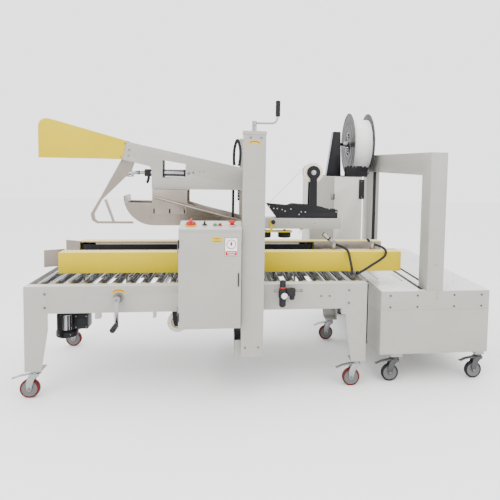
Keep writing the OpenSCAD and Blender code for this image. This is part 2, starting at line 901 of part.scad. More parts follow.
// a smooth curve through hand-set points
function blend3(a, b, c, d, t) =
  0.5 * ((2 * b) + (c - a) * t + (2 * a - 5 * b + 4 * c - d) * t * t
    + (3 * b - a - 3 * c + d) * t * t * t);
function smooth(p, steps) = concat(
  [
    for (i = [0:len(p) - 2], s = [0:steps - 1])
      blend3(p[max(i - 1, 0)], p[i], p[i + 1], p[min(i + 2, len(p) - 1)], s / steps)
  ],
  [p[len(p) - 1]]
);

module hose_loop() {
  top = [
    [1092, 400, beam_right_z + 16], [1098, 398, beam_z + 195], [1096, 402, beam_z + 255],
    [1080, 412, beam_z + 300], [1064, 424, beam_z + 255], [1060, 430, beam_z + 195],
    [1062, 436, beam_right_z + 20]
  ];
  color(black) {
    hose(smooth(top, 4), 8.5);
    rod_z(8, 1058, mid_y, [ski_z + sheet_t + 0.5, beam_z - 0.5]);
  }
}

// side belt units

module belt_cover() {
  color(yellow) {
    block(unit_x, [unit_out, unit_out + guard_t], [unit_bot_z, unit_top_z]);
    block(unit_x, [unit_out, unit_in - 14], [unit_top_z - guard_t, unit_top_z]);
    block(unit_x, [unit_out, unit_out + 14], [unit_bot_z, unit_bot_z + guard_t]);
    for (x = [[unit_x[0], unit_x[0] + guard_t], [unit_x[1] - guard_t, unit_x[1]]])
      block(x, [unit_out, unit_in - 16], [unit_bot_z, unit_top_z]);
  }
}

module belt_hanger(x, bore_r) {
  difference() {
    block([x - hanger_t / 2, x + hanger_t / 2], [belt_y - 20, belt_y + 20],
          [cross_z - 22, unit_bot_z + 40]);
    rod_y(bore_r, x, [belt_y - 21, belt_y + 21], cross_z);
  }
}

module belt_frame() {
  flare = [
    [unit_x[0] + 6, unit_in - 6], [unit_x[0] + 6, unit_in - 3], [unit_x[0], unit_in - 3],
    [unit_x[0] - 90, unit_in - 48], [unit_x[0] - 90, unit_in - 51], [unit_x[0] - 2, unit_in - 6]
  ];
  slider_x = [pulley_x[0] + pulley_r + 12, pulley_x[1] - pulley_r - 12];
  color(steel) {
    block([unit_x[0] + 3, strip_x[1]], [unit_out + 8, unit_in - 12],
          [top_plate_z, top_plate_z + 5]);
    block([unit_x[0] + 3, pulley_x[0] - 20], [unit_in - 17, unit_in - 5],
          [top_plate_z, top_plate_z + 5]);
    translate([0, 0, unit_bot_z + 25])
      linear_extrude(unit_top_z - unit_bot_z - 20)
        polygon(flare);
    block(slider_x, [unit_in - belt_t - 12, unit_in - belt_t - 1], [belt_z[0], top_plate_z + eps]);
    block([slider_x[0] + 10, slider_x[1] - 10], [belt_y - 20, belt_y + 28],
          [unit_bot_z + 30, unit_bot_z + 40]);
    for (x = pulley_x)
      rod_z(post_r, x, belt_y, [belt_z[0] - 2, top_plate_z + eps]);
    block(strip_x, [unit_in - 6, unit_in - 3], [belt_z[0], unit_top_z + 2]);
    block(strip_x, [unit_in - 20, unit_in - 5], [top_plate_z, top_plate_z + 5]);
    for (x = guide_x)
      belt_hanger(x, guide_r + run_fit);
    belt_hanger(width_screw_x, screw_r + run_fit);
  }
}

// straight runs and round ends kept as true arcs
module belt_track(r, z) {
  for (x = pulley_x)
    rod_z(r, x, belt_y, z);
  block(pulley_x, [belt_y - r, belt_y + r], z);
}

module belt_loop() {
  color(black) {
    difference() {
      belt_track(pulley_r + belt_t, belt_z);
      belt_track(pulley_r + 0.4, [belt_z[0] - 1, belt_z[1] + 1]);
    }
    difference() {
      rod_z(pulley_r, pulley_x[0], belt_y, belt_z);
      rod_z(post_r + run_fit, pulley_x[0], belt_y, [belt_z[0] - 1, belt_z[1] + 1]);
    }
  }
}

module belt_pulley() {
  color(chrome)
    difference() {
      rod_z(pulley_r, pulley_x[1], belt_y, [belt_z[0] + 1, belt_z[1] - 1]);
      rod_z(post_r + run_fit, pulley_x[1], belt_y, [belt_z[0] - 1, belt_z[1] + 1]);
    }
}

module width_crank() {
  grip_z = width_screw_z - 128;
  color(chrome) {
    rod_y(screw_r, width_screw_x, [-34, bed_w - sheet_t - 2], width_screw_z);
    rod_y(17, width_screw_x, [-50, -20], width_screw_z);
    bar([width_screw_x, -42, width_screw_z], [width_screw_x, -52, grip_z], 6);
    rod_y(6, width_screw_x, [-72, -44], grip_z);
  }
  color(black)
    rod_y(14, width_screw_x, [crank_grip_y, -66], grip_z);
}

module sensor_leads() {
  top = unit_top_z + 22;
  y = unit_in - 12;
  over_z = unit_top_z + 16;
  first = [
    [1672, y, top + 8], [1694, 232, over_z + 6], [1712, 200, over_z], [1722, 172, over_z],
    [1728, 163, over_z - 18], [1732, 148, 690], [1726, 60, 655], [1716, 28, 640]
  ];
  second = [
    [1908, y, top + 8], [1935, 238, over_z + 6], [1950, 204, over_z + 1],
    [1948, 173, over_z + 1], [1944, 162, over_z - 18], [1922, 140, 706], [1880, 118, 690],
    [1790, 60, 655], [1752, 34, 642]
  ];
  color(black) {
    hose(smooth(first, 3), lead_r);
    hose(smooth(second, 3), lead_r);
    for (x = [1660, 1896]) {
      block([x - 9, x + 9], [y - 10, y + 5.5], [unit_top_z + 0.5, top + 14]);
      rod_z(4, x, y - 4, [top + 13, top + 30]);
    }
    bar([1650, y - 4, top + 26], [1592, y - 4, top + 74], 15);
    bar([1880, y - 4, top + 26], [1862, y - 4, top + 42], 8);
    block([1640, 1668], [y - 8, y], [top + 12, top + 34]);
    block([1874, 1900], [y - 8, y], [top + 12, top + 30]);
  }
}

// strapping unit

module strapper_base() {
  seam_z = table_z - 108;
  slot = 22;
  wall = sheet_t;
  spacer = 35;
  color(paint) {
    difference() {
      block(base_x, base_y, [table_bot_z, table_z]);
      block([base_x[0] + wall, base_x[1] - wall], [base_y[0] + wall, base_y[1] - wall],
            [table_bot_z - 1, table_z - wall]);
      block([base_x[0] - 1, base_x[1] + 1], [base_y[0] - 1, base_y[0] + 1], [seam_z - 2, seam_z]);
      block([strap_x - slot / 2, strap_x + slot / 2], [base_y[0] + arch_d, base_y[1] - arch_d],
            [table_z - wall - 1, table_z + 1]);
    }
    for (x = s_stem_x, y = s_stem_y)
      block([x - spacer, min(x + spacer, base_x[1] - wall + eps)], [y - spacer, y + spacer],
            [foot_z - 6, table_bot_z + 4]);
    for (y = s_stem_y)
      block([base_x[0] + wall - eps, base_x[1] - wall + eps], [y - spacer, y + spacer],
            [table_bot_z, table_bot_z + 4]);
  }
}

module strapper_arch() {
  t = sheet_t;
  z0 = table_z;
  slot = 24;
  track = [
    [base_y[0] + arch_d - t - 1, z0 - 1], [base_y[0] + arch_d - t - 1, arch_top_z - arch_d + t + 1],
    [base_y[1] - arch_d + t + 1, arch_top_z - arch_d + t + 1], [base_y[1] - arch_d + t + 1, z0 - 1]
  ];
  outer = [
    [base_y[0], z0], [base_y[0] + arch_d, z0], [base_y[0] + arch_d, arch_top_z - arch_d],
    [base_y[1] - arch_d, arch_top_z - arch_d], [base_y[1] - arch_d, z0], [base_y[1], z0],
    [base_y[1], arch_top_z], [base_y[0], arch_top_z]
  ];
  inner = [
    [base_y[0] + t, z0 - 1], [base_y[0] + arch_d - t, z0 - 1],
    [base_y[0] + arch_d - t, arch_top_z - arch_d + t],
    [base_y[1] - arch_d + t, arch_top_z - arch_d + t], [base_y[1] - arch_d + t, z0 - 1],
    [base_y[1] - t, z0 - 1], [base_y[1] - t, arch_top_z - t], [base_y[0] + t, arch_top_z - t]
  ];
  color(paint)
    difference() {
      side_plate(arch_x, outer);
      side_plate([arch_x[0] + t, arch_x[1] - t], inner);
      side_plate([strap_x - slot / 2, strap_x + slot / 2], track);
    }
}

module strap_cabinet() {
  t = cab_t;
  arm = 40;
  color(paint) {
    difference() {
      block(cab_x, cab_y, [table_z, cab_top_z]);
      block([cab_x[0] + t, cab_x[1] - t], [cab_y[0] + t, cab_y[1] - t],
            [table_z + t, cab_top_z - t]);
      block([cab_door_x + 12, cab_x[1] - 12], [cab_y[0] - 1, cab_y[0] + t + 1],
            [table_z + 14, cab_top_z - 14]);
    }
    for (y = [cab_y[0] + 60, cab_y[1] - 100])
      block([cab_x[0] + 20, base_x[0]], [y, y + arm], [table_z - arm, table_z]);
  }
}

module cabinet_door() {
  y = cab_y[0] - pass_gap / 2;
  z = [table_z + 4, cab_top_z - 4];
  color(paint) {
    block([cab_door_x, cab_x[1] - 1], [y - door_t, y], z);
    for (z0 = [z[0] + 90, z[1] - 168])
      rod_z(door_hinge_r, cab_door_x, cab_hinge_y, [z0, z0 + knuckle_h]);
  }
  color(black)
    block([cab_x[1] - 26, cab_x[1] + 14], [y - door_t - 9, y - door_t + eps],
          [cab_top_z - 165, cab_top_z - 20]);
}

module reel_stand() {
  top_z = cab_top_z + stand_h;
  back_y = cab_y[1] - 5;
  face = [
    [stand_foot_x[0], cab_top_z], [stand_foot_x[1], cab_top_z],
    [stand_top_x[1], top_z], [stand_top_x[0], top_z]
  ];
  fold = [
    [stand_foot_x[0], cab_top_z], [stand_foot_x[0] + stand_t, cab_top_z],
    [stand_top_x[0] + stand_t, top_z], [stand_top_x[0], top_z]
  ];
  web = [
    [stand_y, cab_top_z], [back_y, cab_top_z], [reel_y + 55, top_z - 20], [stand_y, top_z]
  ];
  box = [[1893, 2060], [cab_y[0] + 2, cab_y[0] + 54], [cab_top_z, cab_top_z + 72]];
  color(black) {
    upright([stand_y, stand_y + stand_t], face);
    upright([stand_y, stand_y + 62], fold);
    side_plate(stand_x, web);
    block([stand_foot_x[0] + 1, stand_x[1] + 60], [stand_y + 1, back_y], [cab_top_z, cab_top_z + 3]);
    rod_x(reel_shaft_r, [stand_x[0] + 1, reel_x[1] + 12], reel_y, reel_z);
    rod_x(40, [stand_x[1] - eps, stand_x[1] + 20], reel_y, reel_z);
    block(box[0], box[1], box[2]);
    block([stand_x[1] + 20, stand_x[1] + 60], [cab_y[0] + 40, stand_y + 2],
          [cab_top_z, cab_top_z + 3]);
    for (x = [[1907, 1921], [1929, 1941], [1985, 2023], [2034, 2044]])
      block(x, [cab_y[0] + 14, cab_y[0] + 28], [box[2][1] - eps, box[2][1] + 9]);
  }
}

module strap_reel() {
  t = 3;
  color(black) {
    for (x = [[reel_x[0], reel_x[0] + t], [reel_x[1] - t, reel_x[1]]])
      difference() {
        rod_x(reel_r, x, reel_y, reel_z);
        rod_x(reel_shaft_r + run_fit, [x[0] - 1, x[1] + 1], reel_y, reel_z);
        for (a = [0:60:300])
          rod_x(24, [x[0] - 1, x[1] + 1], reel_y + 62 * cos(a), reel_z + 62 * sin(a));
      }
    difference() {
      rod_x(reel_hub_r, [reel_x[0] + t - eps, reel_x[1] - t + eps], reel_y, reel_z);
      rod_x(reel_hub_r - 4, [reel_x[0] - 1, reel_x[1] + 1], reel_y, reel_z);
    }
    difference() {
      rod_x(28, [reel_x[0] + t - eps, reel_x[1] - t + eps], reel_y, reel_z);
      rod_x(reel_shaft_r + run_fit, [reel_x[0] - 1, reel_x[1] + 1], reel_y, reel_z);
    }
  }
}

module strap_coil() {
  side = 4;
  color(white)
    difference() {
      rod_x(coil_r, [reel_x[0] + side, reel_x[1] - side], reel_y, reel_z);
      rod_x(reel_hub_r + 0.3, [reel_x[0], reel_x[1]], reel_y, reel_z);
    }
}

// casters

module caster_fork(x, y) {
  cheek = [
    [x + 22, foot_z - 22], [x + 22, fork_top_z], [x - trail + 14, wheel_r - 6],
    [x - trail - 12, wheel_r - 6], [x - trail - 18, fork_top_z], [x - 24, foot_z - 22]
  ];
  in = wheel_w / 2 + fork_gap;
  pedal = [
    [x - 12, foot_z - 25], [x - 12, foot_z - 31], [x - trail - 46, fork_top_z + 2],
    [x - pedal_reach, fork_top_z - 14], [x - pedal_reach, fork_top_z - 10],
    [x - trail - 46, fork_top_z + 6]
  ];
  color(steel) {
    for (s = [[y - in - fork_t, y - in], [y + in, y + in + fork_t]])
      upright(s, cheek);
    block([x - 24, x + 22], [y - in - fork_t, y + in + fork_t], [foot_z - 26, foot_z - 22]);
    rod_z(18, x, y, [foot_z - 23, foot_z - 6 - 0.3]);
    rod_y(axle_r, x - trail, [y - in - fork_t - 4, y + in + fork_t + 4], wheel_r);
    upright([y - in - 1, y + in + 1], pedal);
  }
}

module caster_wheel(x, y) {
  color(maroon)
    difference() {
      rod_y(wheel_r, x - trail, [y - wheel_w / 2, y + wheel_w / 2], wheel_r);
      rod_y(axle_r + run_fit, x - trail, [y - wheel_w, y + wheel_w], wheel_r);
    }
}

// one node for fork and wheel: on the strapping unit the wheel is joined to its axle
module strapper_caster(i, k) {
  x = s_stem_x[i];
  y = s_stem_y[k];
  caster_fork(x, y);
  color(black)
    rod_y(wheel_r, x - trail, [y - wheel_w / 2, y + wheel_w / 2], wheel_r);
}

module shifted() {
  translate(-origin) children();
}

shifted() {
  bed_rails();
  bed_legs();
  bed_rollers();
  mast_columns();
  control_box();
  control_door();
  main_switch();
  mode_selector();
  start_button();
  stop_button();
  emergency_stop();
  drive_motor();
  lower_tape_head();
  lower_tape_roll();
  air_regulator();
  regulator_knob();
  head_crossbeam();
  head_beam();
  head_guard();
  kicker_cylinder();
  kicker_rod();
  kicker_lever();
  ski_presser();
  upper_tape_head();
  upper_tape_roll();
  press_frame();
  press_roller(press_x[0]);  // press_roller_front
  press_roller(press_x[1]);  // press_roller_rear
  hose_loop();
  head_crank();
  rear_screw();
  belt_cover();  // near_belt_cover
  belt_frame();  // near_belt_frame
  belt_loop();  // near_belt
  belt_pulley();  // near_pulley
  mirror_y() belt_cover();  // far_belt_cover
  mirror_y() belt_frame();  // far_belt_frame
  mirror_y() belt_loop();  // far_belt
  mirror_y() belt_pulley();  // far_pulley
  sensor_leads();
  width_crank();
  strapper_base();
  strapper_arch();
  strap_cabinet();
  cabinet_door();
  reel_stand();
  strap_reel();
  strap_coil();
  caster_fork(stem_x[0], stem_y[0]);  // caster_fork_front_left
  caster_fork(stem_x[1], stem_y[0]);  // caster_fork_front_right
  caster_fork(stem_x[0], stem_y[1]);  // caster_fork_rear_left
  caster_fork(stem_x[1], stem_y[1]);  // caster_fork_rear_right
  caster_wheel(stem_x[0], stem_y[0]);  // caster_wheel_front_left
  caster_wheel(stem_x[1], stem_y[0]);  // caster_wheel_front_right
  caster_wheel(stem_x[0], stem_y[1]);  // caster_wheel_rear_left
  caster_wheel(stem_x[1], stem_y[1]);  // caster_wheel_rear_right
  strapper_caster(0, 0);  // strapper_caster_front_left
  strapper_caster(1, 0);  // strapper_caster_front_right
  strapper_caster(0, 1);  // strapper_caster_rear_left
  strapper_caster(1, 1);  // strapper_caster_rear_right
}
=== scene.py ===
import json
import math
import bmesh
import bpy
from mathutils import Matrix, Vector


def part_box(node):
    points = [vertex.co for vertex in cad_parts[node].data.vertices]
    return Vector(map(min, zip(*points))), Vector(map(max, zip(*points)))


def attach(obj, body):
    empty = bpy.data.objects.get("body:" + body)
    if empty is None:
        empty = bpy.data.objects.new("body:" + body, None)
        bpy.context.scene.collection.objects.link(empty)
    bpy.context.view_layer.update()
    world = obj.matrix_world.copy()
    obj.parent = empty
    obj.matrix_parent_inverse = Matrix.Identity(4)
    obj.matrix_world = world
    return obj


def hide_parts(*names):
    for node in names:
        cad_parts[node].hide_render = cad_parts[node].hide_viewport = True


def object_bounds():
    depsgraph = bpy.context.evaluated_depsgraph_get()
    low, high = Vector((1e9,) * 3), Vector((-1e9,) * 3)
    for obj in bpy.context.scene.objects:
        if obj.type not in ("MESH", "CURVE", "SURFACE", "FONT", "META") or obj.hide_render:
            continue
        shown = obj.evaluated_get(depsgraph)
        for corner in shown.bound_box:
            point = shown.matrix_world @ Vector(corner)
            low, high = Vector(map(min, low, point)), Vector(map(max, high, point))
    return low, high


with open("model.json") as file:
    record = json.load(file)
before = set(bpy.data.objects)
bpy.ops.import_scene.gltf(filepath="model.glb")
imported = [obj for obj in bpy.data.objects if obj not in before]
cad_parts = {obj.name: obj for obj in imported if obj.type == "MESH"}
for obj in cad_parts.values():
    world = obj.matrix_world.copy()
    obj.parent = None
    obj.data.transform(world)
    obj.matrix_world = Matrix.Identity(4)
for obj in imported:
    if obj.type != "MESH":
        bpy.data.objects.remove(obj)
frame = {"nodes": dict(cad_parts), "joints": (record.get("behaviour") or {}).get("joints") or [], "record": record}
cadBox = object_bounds()
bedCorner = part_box("bed_legs")[0]
floorZ = cadBox[0].z
print("frame loaded")


# Places are in millimetres from the bed's front left corner, on the floor.
def at(x, y, z):
    return Vector((bedCorner.x + x / 1000, bedCorner.y + y / 1000, floorZ + z / 1000))


def toBed(v):
    return ((v[0] - bedCorner.x) * 1000, (v[1] - bedCorner.y) * 1000, (v[2] - floorZ) * 1000)


def jointPlace(name):
    found = next(j for j in frame["joints"] if j["name"] == name)
    return toBed(found["pos_m"]), Vector(found["axis"])


def nodeBox(node):
    low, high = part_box(node)
    return toBed(low), toBed(high)


# materials

def link(tree, a, b):
    tree.links.new(a, b)


def noise(tree, coords, scale, detail=3.0, stretch=(1, 1, 1)):
    mapping = tree.nodes.new("ShaderNodeMapping")
    mapping.inputs["Scale"].default_value = stretch
    link(tree, coords, mapping.inputs["Vector"])
    node = tree.nodes.new("ShaderNodeTexNoise")
    node.inputs["Scale"].default_value = scale
    node.inputs["Detail"].default_value = detail
    link(tree, mapping.outputs["Vector"], node.inputs["Vector"])
    return node.outputs["Fac"]


def spanned(tree, value, low, high, start=0.3, end=0.7):
    node = tree.nodes.new("ShaderNodeMapRange")
    node.inputs["From Min"].default_value = start
    node.inputs["From Max"].default_value = end
    node.inputs["To Min"].default_value = low
    node.inputs["To Max"].default_value = high
    link(tree, value, node.inputs["Value"])
    return node.outputs["Result"]


def mixed(tree, factor, a, b):
    node = tree.nodes.new("ShaderNodeMix")
    node.data_type = "RGBA"
    link(tree, factor, node.inputs["Factor"])
    for socket, value in (("A", a), ("B", b)):
        target = next(s for s in node.inputs if s.name == socket and s.type == "RGBA")
        if isinstance(value, tuple):
            target.default_value = (*value, 1)
        else:
            link(tree, value, target)
    return next(s for s in node.outputs if s.type == "RGBA")


def shade(color, gain):
    return tuple(min(1.0, c * gain) for c in color)


# color and roughness drift over the surface, with a fine grain, soiling and light scratches
def surface(name, color, rough, metal=0.0, grain=700, depth=0.00003, stretch=(1, 1, 1),
            tint=0.04, spread=0.06, coat=0.0, soil=0.0, scratch=0.0, bands=None, glow=0.0):
    mat = bpy.data.materials.new(name)
    mat.use_nodes = True
    tree = mat.node_tree
    bsdf = tree.nodes["Principled BSDF"]
    coords = tree.nodes.new("ShaderNodeTexCoord").outputs["Object"]
    broad = noise(tree, coords, 5.0, 4.0)
    shown = mixed(tree, spanned(tree, broad, 0, 1), shade(color, 1 - tint), shade(color, 1 + tint))
    if soil:
        patches = spanned(tree, noise(tree, coords, 38.0, 6.0), 0, soil, 0.56, 0.78)
        shown = mixed(tree, patches, shown, shade(color, 0.45))
    if scratch:
        lines = spanned(tree, noise(tree, coords, 60.0, 2.0, (1, 14, 14)), 0, scratch, 0.63, 0.70)
        shown = mixed(tree, lines, shown, shade(color, 1.5))
    height = noise(tree, coords, grain, 2.0, stretch)
    if bands:
        axis, spacing, darken = bands
        wave = tree.nodes.new("ShaderNodeTexWave")
        wave.bands_direction = axis
        wave.inputs["Scale"].default_value = math.pi / 10 / spacing
        wave.inputs["Distortion"].default_value = 0.4
        link(tree, coords, wave.inputs["Vector"])
        shown = mixed(tree, spanned(tree, wave.outputs["Fac"], 0, darken, 0.15, 0), shown,
                      shade(color, 0.5))
        total = tree.nodes.new("ShaderNodeMath")
        link(tree, height, total.inputs[0])
        link(tree, wave.outputs["Fac"], total.inputs[1])
        height = total.outputs[0]
    link(tree, shown, bsdf.inputs["Base Color"])
    cloudy = noise(tree, coords, 22.0, 5.0, stretch)
    link(tree, spanned(tree, cloudy, rough - spread, rough + spread), bsdf.inputs["Roughness"])
    bump = tree.nodes.new("ShaderNodeBump")
    bump.inputs["Strength"].default_value = 0.5
    bump.inputs["Distance"].default_value = depth
    link(tree, height, bump.inputs["Height"])
    link(tree, bump.outputs["Normal"], bsdf.inputs["Normal"])
    bsdf.inputs["Metallic"].default_value = metal
    bsdf.inputs["Coat Weight"].default_value = coat
    if glow:
        bsdf.inputs["Emission Color"].default_value = (*color, 1)
        bsdf.inputs["Emission Strength"].default_value = glow
    mat.diffuse_color = (*color, 1)
    return mat


greyPaint = surface("greyPaint", (0.305, 0.298, 0.272), 0.42, grain=900, depth=0.00004, tint=0.03,
                    spread=0.05, coat=0.12, soil=0.10)
# this pale grey is real paint on the cabinet door and the stop collar, and a painted highlight on the top faces of
# the bed rails, legs and control box
palePaintAndHighlight = surface("palePaintAndHighlight", (0.50, 0.495, 0.47), 0.38, grain=900, depth=0.00004, tint=0.02,
                    coat=0.15, soil=0.06)
# a painted reflection colour: the grey-blue light seen on the reel stand's black left flange
reflectionSlate = surface("reflectionSlate", (0.20, 0.23, 0.28), 0.40, grain=800, tint=0.05, coat=0.1)
yellowPaint = surface("yellowPaint", (0.50, 0.375, 0.0), 0.45, grain=900, depth=0.00004, tint=0.03,
                      soil=0.05)
# a painted highlight colour for the top faces of the yellow belt covers
highlightYellow = surface("highlightYellow", (0.72, 0.57, 0.12), 0.40, grain=900, tint=0.02)
blackPaint = surface("blackPaint", (0.005, 0.005, 0.007), 0.42, grain=700, depth=0.00005, tint=0.2,
                     coat=0.08, scratch=0.10)
blackPlastic = surface("blackPlastic", (0.014, 0.014, 0.016), 0.38, grain=1400, depth=0.00003,
                       tint=0.15)
blackRubber = surface("blackRubber", (0.013, 0.013, 0.014), 0.72, grain=1100, depth=0.00010,
                      tint=0.25, soil=0.12)
beltRubber = surface("beltRubber", (0.011, 0.011, 0.012), 0.66, grain=900, depth=0.00010, tint=0.25,
                     soil=0.15, bands=("X", 0.006, 0.5))
stainless = surface("stainless", (0.25, 0.215, 0.185), 0.34, metal=0.9, grain=260, depth=0.00003,
                    stretch=(1, 1, 30), tint=0.09, spread=0.10, soil=0.15, scratch=0.25)
brightSteel = surface("brightSteel", (0.30, 0.30, 0.31), 0.22, metal=1.0, grain=500,
                      depth=0.00001, stretch=(1, 1, 12), tint=0.05, spread=0.08, scratch=0.2)
rollerSteel = surface("rollerSteel", (0.20, 0.20, 0.205), 0.22, metal=0.9, grain=300,
                      depth=0.00001, stretch=(20, 1, 20), tint=0.12, spread=0.08, soil=0.2)
brassEnd = surface("brassEnd", (0.42, 0.34, 0.17), 0.36, metal=0.9, grain=500, tint=0.12, soil=0.25)
zinc = surface("zinc", (0.30, 0.305, 0.31), 0.36, metal=0.85, grain=200, depth=0.00003, tint=0.10,
               spread=0.10, soil=0.15)
darkZinc = surface("darkZinc", (0.07, 0.07, 0.075), 0.40, metal=0.5, grain=300, tint=0.15, soil=0.2)
screwSteel = surface("screwSteel", (0.16, 0.16, 0.155), 0.34, metal=0.9, grain=900, tint=0.1)
threadSteel = surface("threadSteel", (0.45, 0.45, 0.45), 0.3, metal=1.0, depth=0.0006,
                      bands=("Z", 0.004, 0.7))
redPlastic = surface("redPlastic", (0.38, 0.006, 0.004), 0.30, grain=1200, tint=0.05, coat=0.3)
greenPlastic = surface("greenPlastic", (0.03, 0.26, 0.10), 0.30, grain=1200, tint=0.05, coat=0.3)
orangePlastic = surface("orangePlastic", (0.90, 0.25, 0.015), 0.32, grain=1200, tint=0.05,
                        glow=0.15)
boltBrown = surface("boltBrown", (0.10, 0.085, 0.06), 0.4, metal=0.8, grain=900, tint=0.1)
tableWhite = surface("tableWhite", (0.62, 0.61, 0.60), 0.30, grain=900, tint=0.02, coat=0.2)
whitePlastic = surface("whitePlastic", (0.78, 0.78, 0.76), 0.35, grain=1200, tint=0.03)
maroonTyre = surface("maroonTyre", (0.09, 0.008, 0.008), 0.45, grain=700, depth=0.00006, tint=0.15,
                     soil=0.25)
hubGrey = surface("hubGrey", (0.10, 0.10, 0.10), 0.45, grain=600, tint=0.08, soil=0.15)
tapeFilm = surface("tapeFilm", (0.60, 0.49, 0.36), 0.22, grain=400, depth=0.00003, tint=0.06,
                   coat=0.4)
tapeSide = surface("tapeSide", (0.72, 0.66, 0.54), 0.5, grain=1500, depth=0.00008, tint=0.05)
strapWhite = surface("strapWhite", (0.80, 0.80, 0.79), 0.40, grain=900, depth=0.00030, tint=0.03,
                     bands=("X", 0.012, 0.22))
labelYellow = surface("labelYellow", (0.52, 0.37, 0.0), 0.45, grain=1500, tint=0.03)
labelRed = surface("labelRed", (0.36, 0.008, 0.006), 0.45, grain=1500, tint=0.03)
labelWhite = surface("labelWhite", (0.78, 0.78, 0.78), 0.45, grain=1500, tint=0.02)
labelBlack = surface("labelBlack", (0.02, 0.02, 0.022), 0.5, grain=1500, tint=0.1)


def filmMaterial(name, color, alpha):
    mat = surface(name, color, 0.2, tint=0.02, grain=200)
    mat.node_tree.nodes["Principled BSDF"].inputs["Alpha"].default_value = alpha
    return mat


tapeWeb = filmMaterial("tapeWeb", (0.30, 0.30, 0.29), 0.5)
for dark in (blackPaint, blackPlastic, blackRubber, beltRubber, labelBlack, darkZinc, yellowPaint,
             labelYellow, labelRed, redPlastic, maroonTyre, highlightYellow):
    dark.node_tree.nodes["Principled BSDF"].inputs["Specular IOR Level"].default_value = 0.16
print("materials made")


# mesh tools

def basis(direction):
    d = Vector(direction).normalized()
    side = d.cross(Vector((0, 0, 1)) if abs(d.z) < 0.9 else Vector((1, 0, 0))).normalized()
    return side, d.cross(side), d


def arc(cx, cy, r, a0, a1, n):
    return [(cx + r * math.cos(math.radians(a0 + (a1 - a0) * i / n)),
             cy + r * math.sin(math.radians(a0 + (a1 - a0) * i / n))) for i in range(n + 1)]


def smoothPath(points, steps):
    p = [Vector(q) for q in points]
    out = []
    for i in range(len(p) - 1):
        a, b, c, d = p[max(i - 1, 0)], p[i], p[i + 1], p[min(i + 2, len(p) - 1)]
        for s in range(steps):
            t = s / steps
            out.append(0.5 * ((2 * b) + (c - a) * t + (2 * a - 5 * b + 4 * c - d) * t * t
                              + (3 * b - a - 3 * c + d) * t ** 3))
    return out + [p[-1]]


class Piece:
    def __init__(self, name, body, slot, *mats):
        self.name, self.body, self.slot, self.mats = name, body, slot, mats
        self.bm = bmesh.new()

    def add(self, points, faces, m=0):
        verts = [self.bm.verts.new(at(*p)) for p in points]
        for f in faces:
            face = self.bm.faces.new([verts[i] for i in f])
            face.material_index = m
            face.smooth = True

    def box(self, x, y, z, m=0):
        pts = [(a, b, c) for a in x for b in y for c in z]
        self.add(pts, [(0, 1, 3, 2), (4, 6, 7, 5), (0, 4, 5, 1), (2, 3, 7, 6), (0, 2, 6, 4),
                       (1, 5, 7, 3)], m)

    # a flat outline given thickness along one axis
    def plate(self, outline, axis, span, m=0):
        def place(p, s):
            return {"x": (s, p[0], p[1]), "y": (p[0], s, p[1]), "z": (p[0], p[1], s)}[axis]
        n = len(outline)
        pts = [place(p, s) for s in span for p in outline]
        walls = [(i, (i + 1) % n, n + (i + 1) % n, n + i) for i in range(n)]
        self.add(pts, walls + [tuple(range(n)), tuple(range(2 * n - 1, n - 1, -1))], m)

    # a profile of (distance along the axis, radius), turned round the axis
    def lathe(self, centre, axis, profile, seg=32, m=0):
        u, v, d = basis(axis)
        c = Vector(centre)
        pts = [c + d * h + r * (u * math.cos(a) + v * math.sin(a)) for h, r in profile
               for a in [math.tau * k / seg for k in range(seg)]]
        n = len(profile)
        bands = [(i * seg + k, i * seg + (k + 1) % seg, (i + 1) * seg + (k + 1) % seg,
                  (i + 1) * seg + k) for i in range(n - 1) for k in range(seg)]
        caps = [tuple(range(seg - 1, -1, -1)), tuple(range((n - 1) * seg, n * seg))]
        if profile[0] == profile[-1]:
            caps = []
        self.add(pts, bands + caps, m)

    def rod(self, a, b, r, seg=24, m=0, soft=0.0):
        length = (Vector(b) - Vector(a)).length
        ends = [(0, r), (length, r)]
        if soft:
            ends = [(0, r - soft), (soft, r), (length - soft, r), (length, r - soft)]
        self.lathe(a, Vector(b) - Vector(a), ends, seg, m)

    def tube(self, path, r, seg=12, m=0, ripple=0.0):
        p = [Vector(q) for q in path]
        n = len(p)
        rings = []
        side = basis(p[1] - p[0])[0]
        for i in range(n):
            d = (p[min(i + 1, n - 1)] - p[max(i - 1, 0)]).normalized()
            side = (side - d * side.dot(d)).normalized()
            up = d.cross(side)
            rr = r - (ripple if i % 2 else 0)
            rings += [p[i] + rr * (side * math.cos(a) + up * math.sin(a))
                      for a in [math.tau * k / seg for k in range(seg)]]
        walls = [(i * seg + k, i * seg + (k + 1) % seg, (i + 1) * seg + (k + 1) % seg,
                  (i + 1) * seg + k) for i in range(n - 1) for k in range(seg)]
        self.add(rings, walls + [tuple(range(seg - 1, -1, -1)),
                                 tuple(range((n - 1) * seg, n * seg))], m)

    # a domed socket screw head whose seat is at the given place
    def screw(self, place, axis, r=6.0, m=0):
        self.lathe(place, axis, [(0, r), (r * 0.45, r * 0.92), (r * 0.62, r * 0.55),
                                 (r * 0.62, r * 0.34), (r * 0.30, r * 0.30)], 12, m)

    def done(self, bevel=0.0, replaced=(), limit=35):
        bmesh.ops.recalc_face_normals(self.bm, faces=self.bm.faces)
        return finished(self.bm, self.name, self.body, self.mats, bevel, replaced, limit)


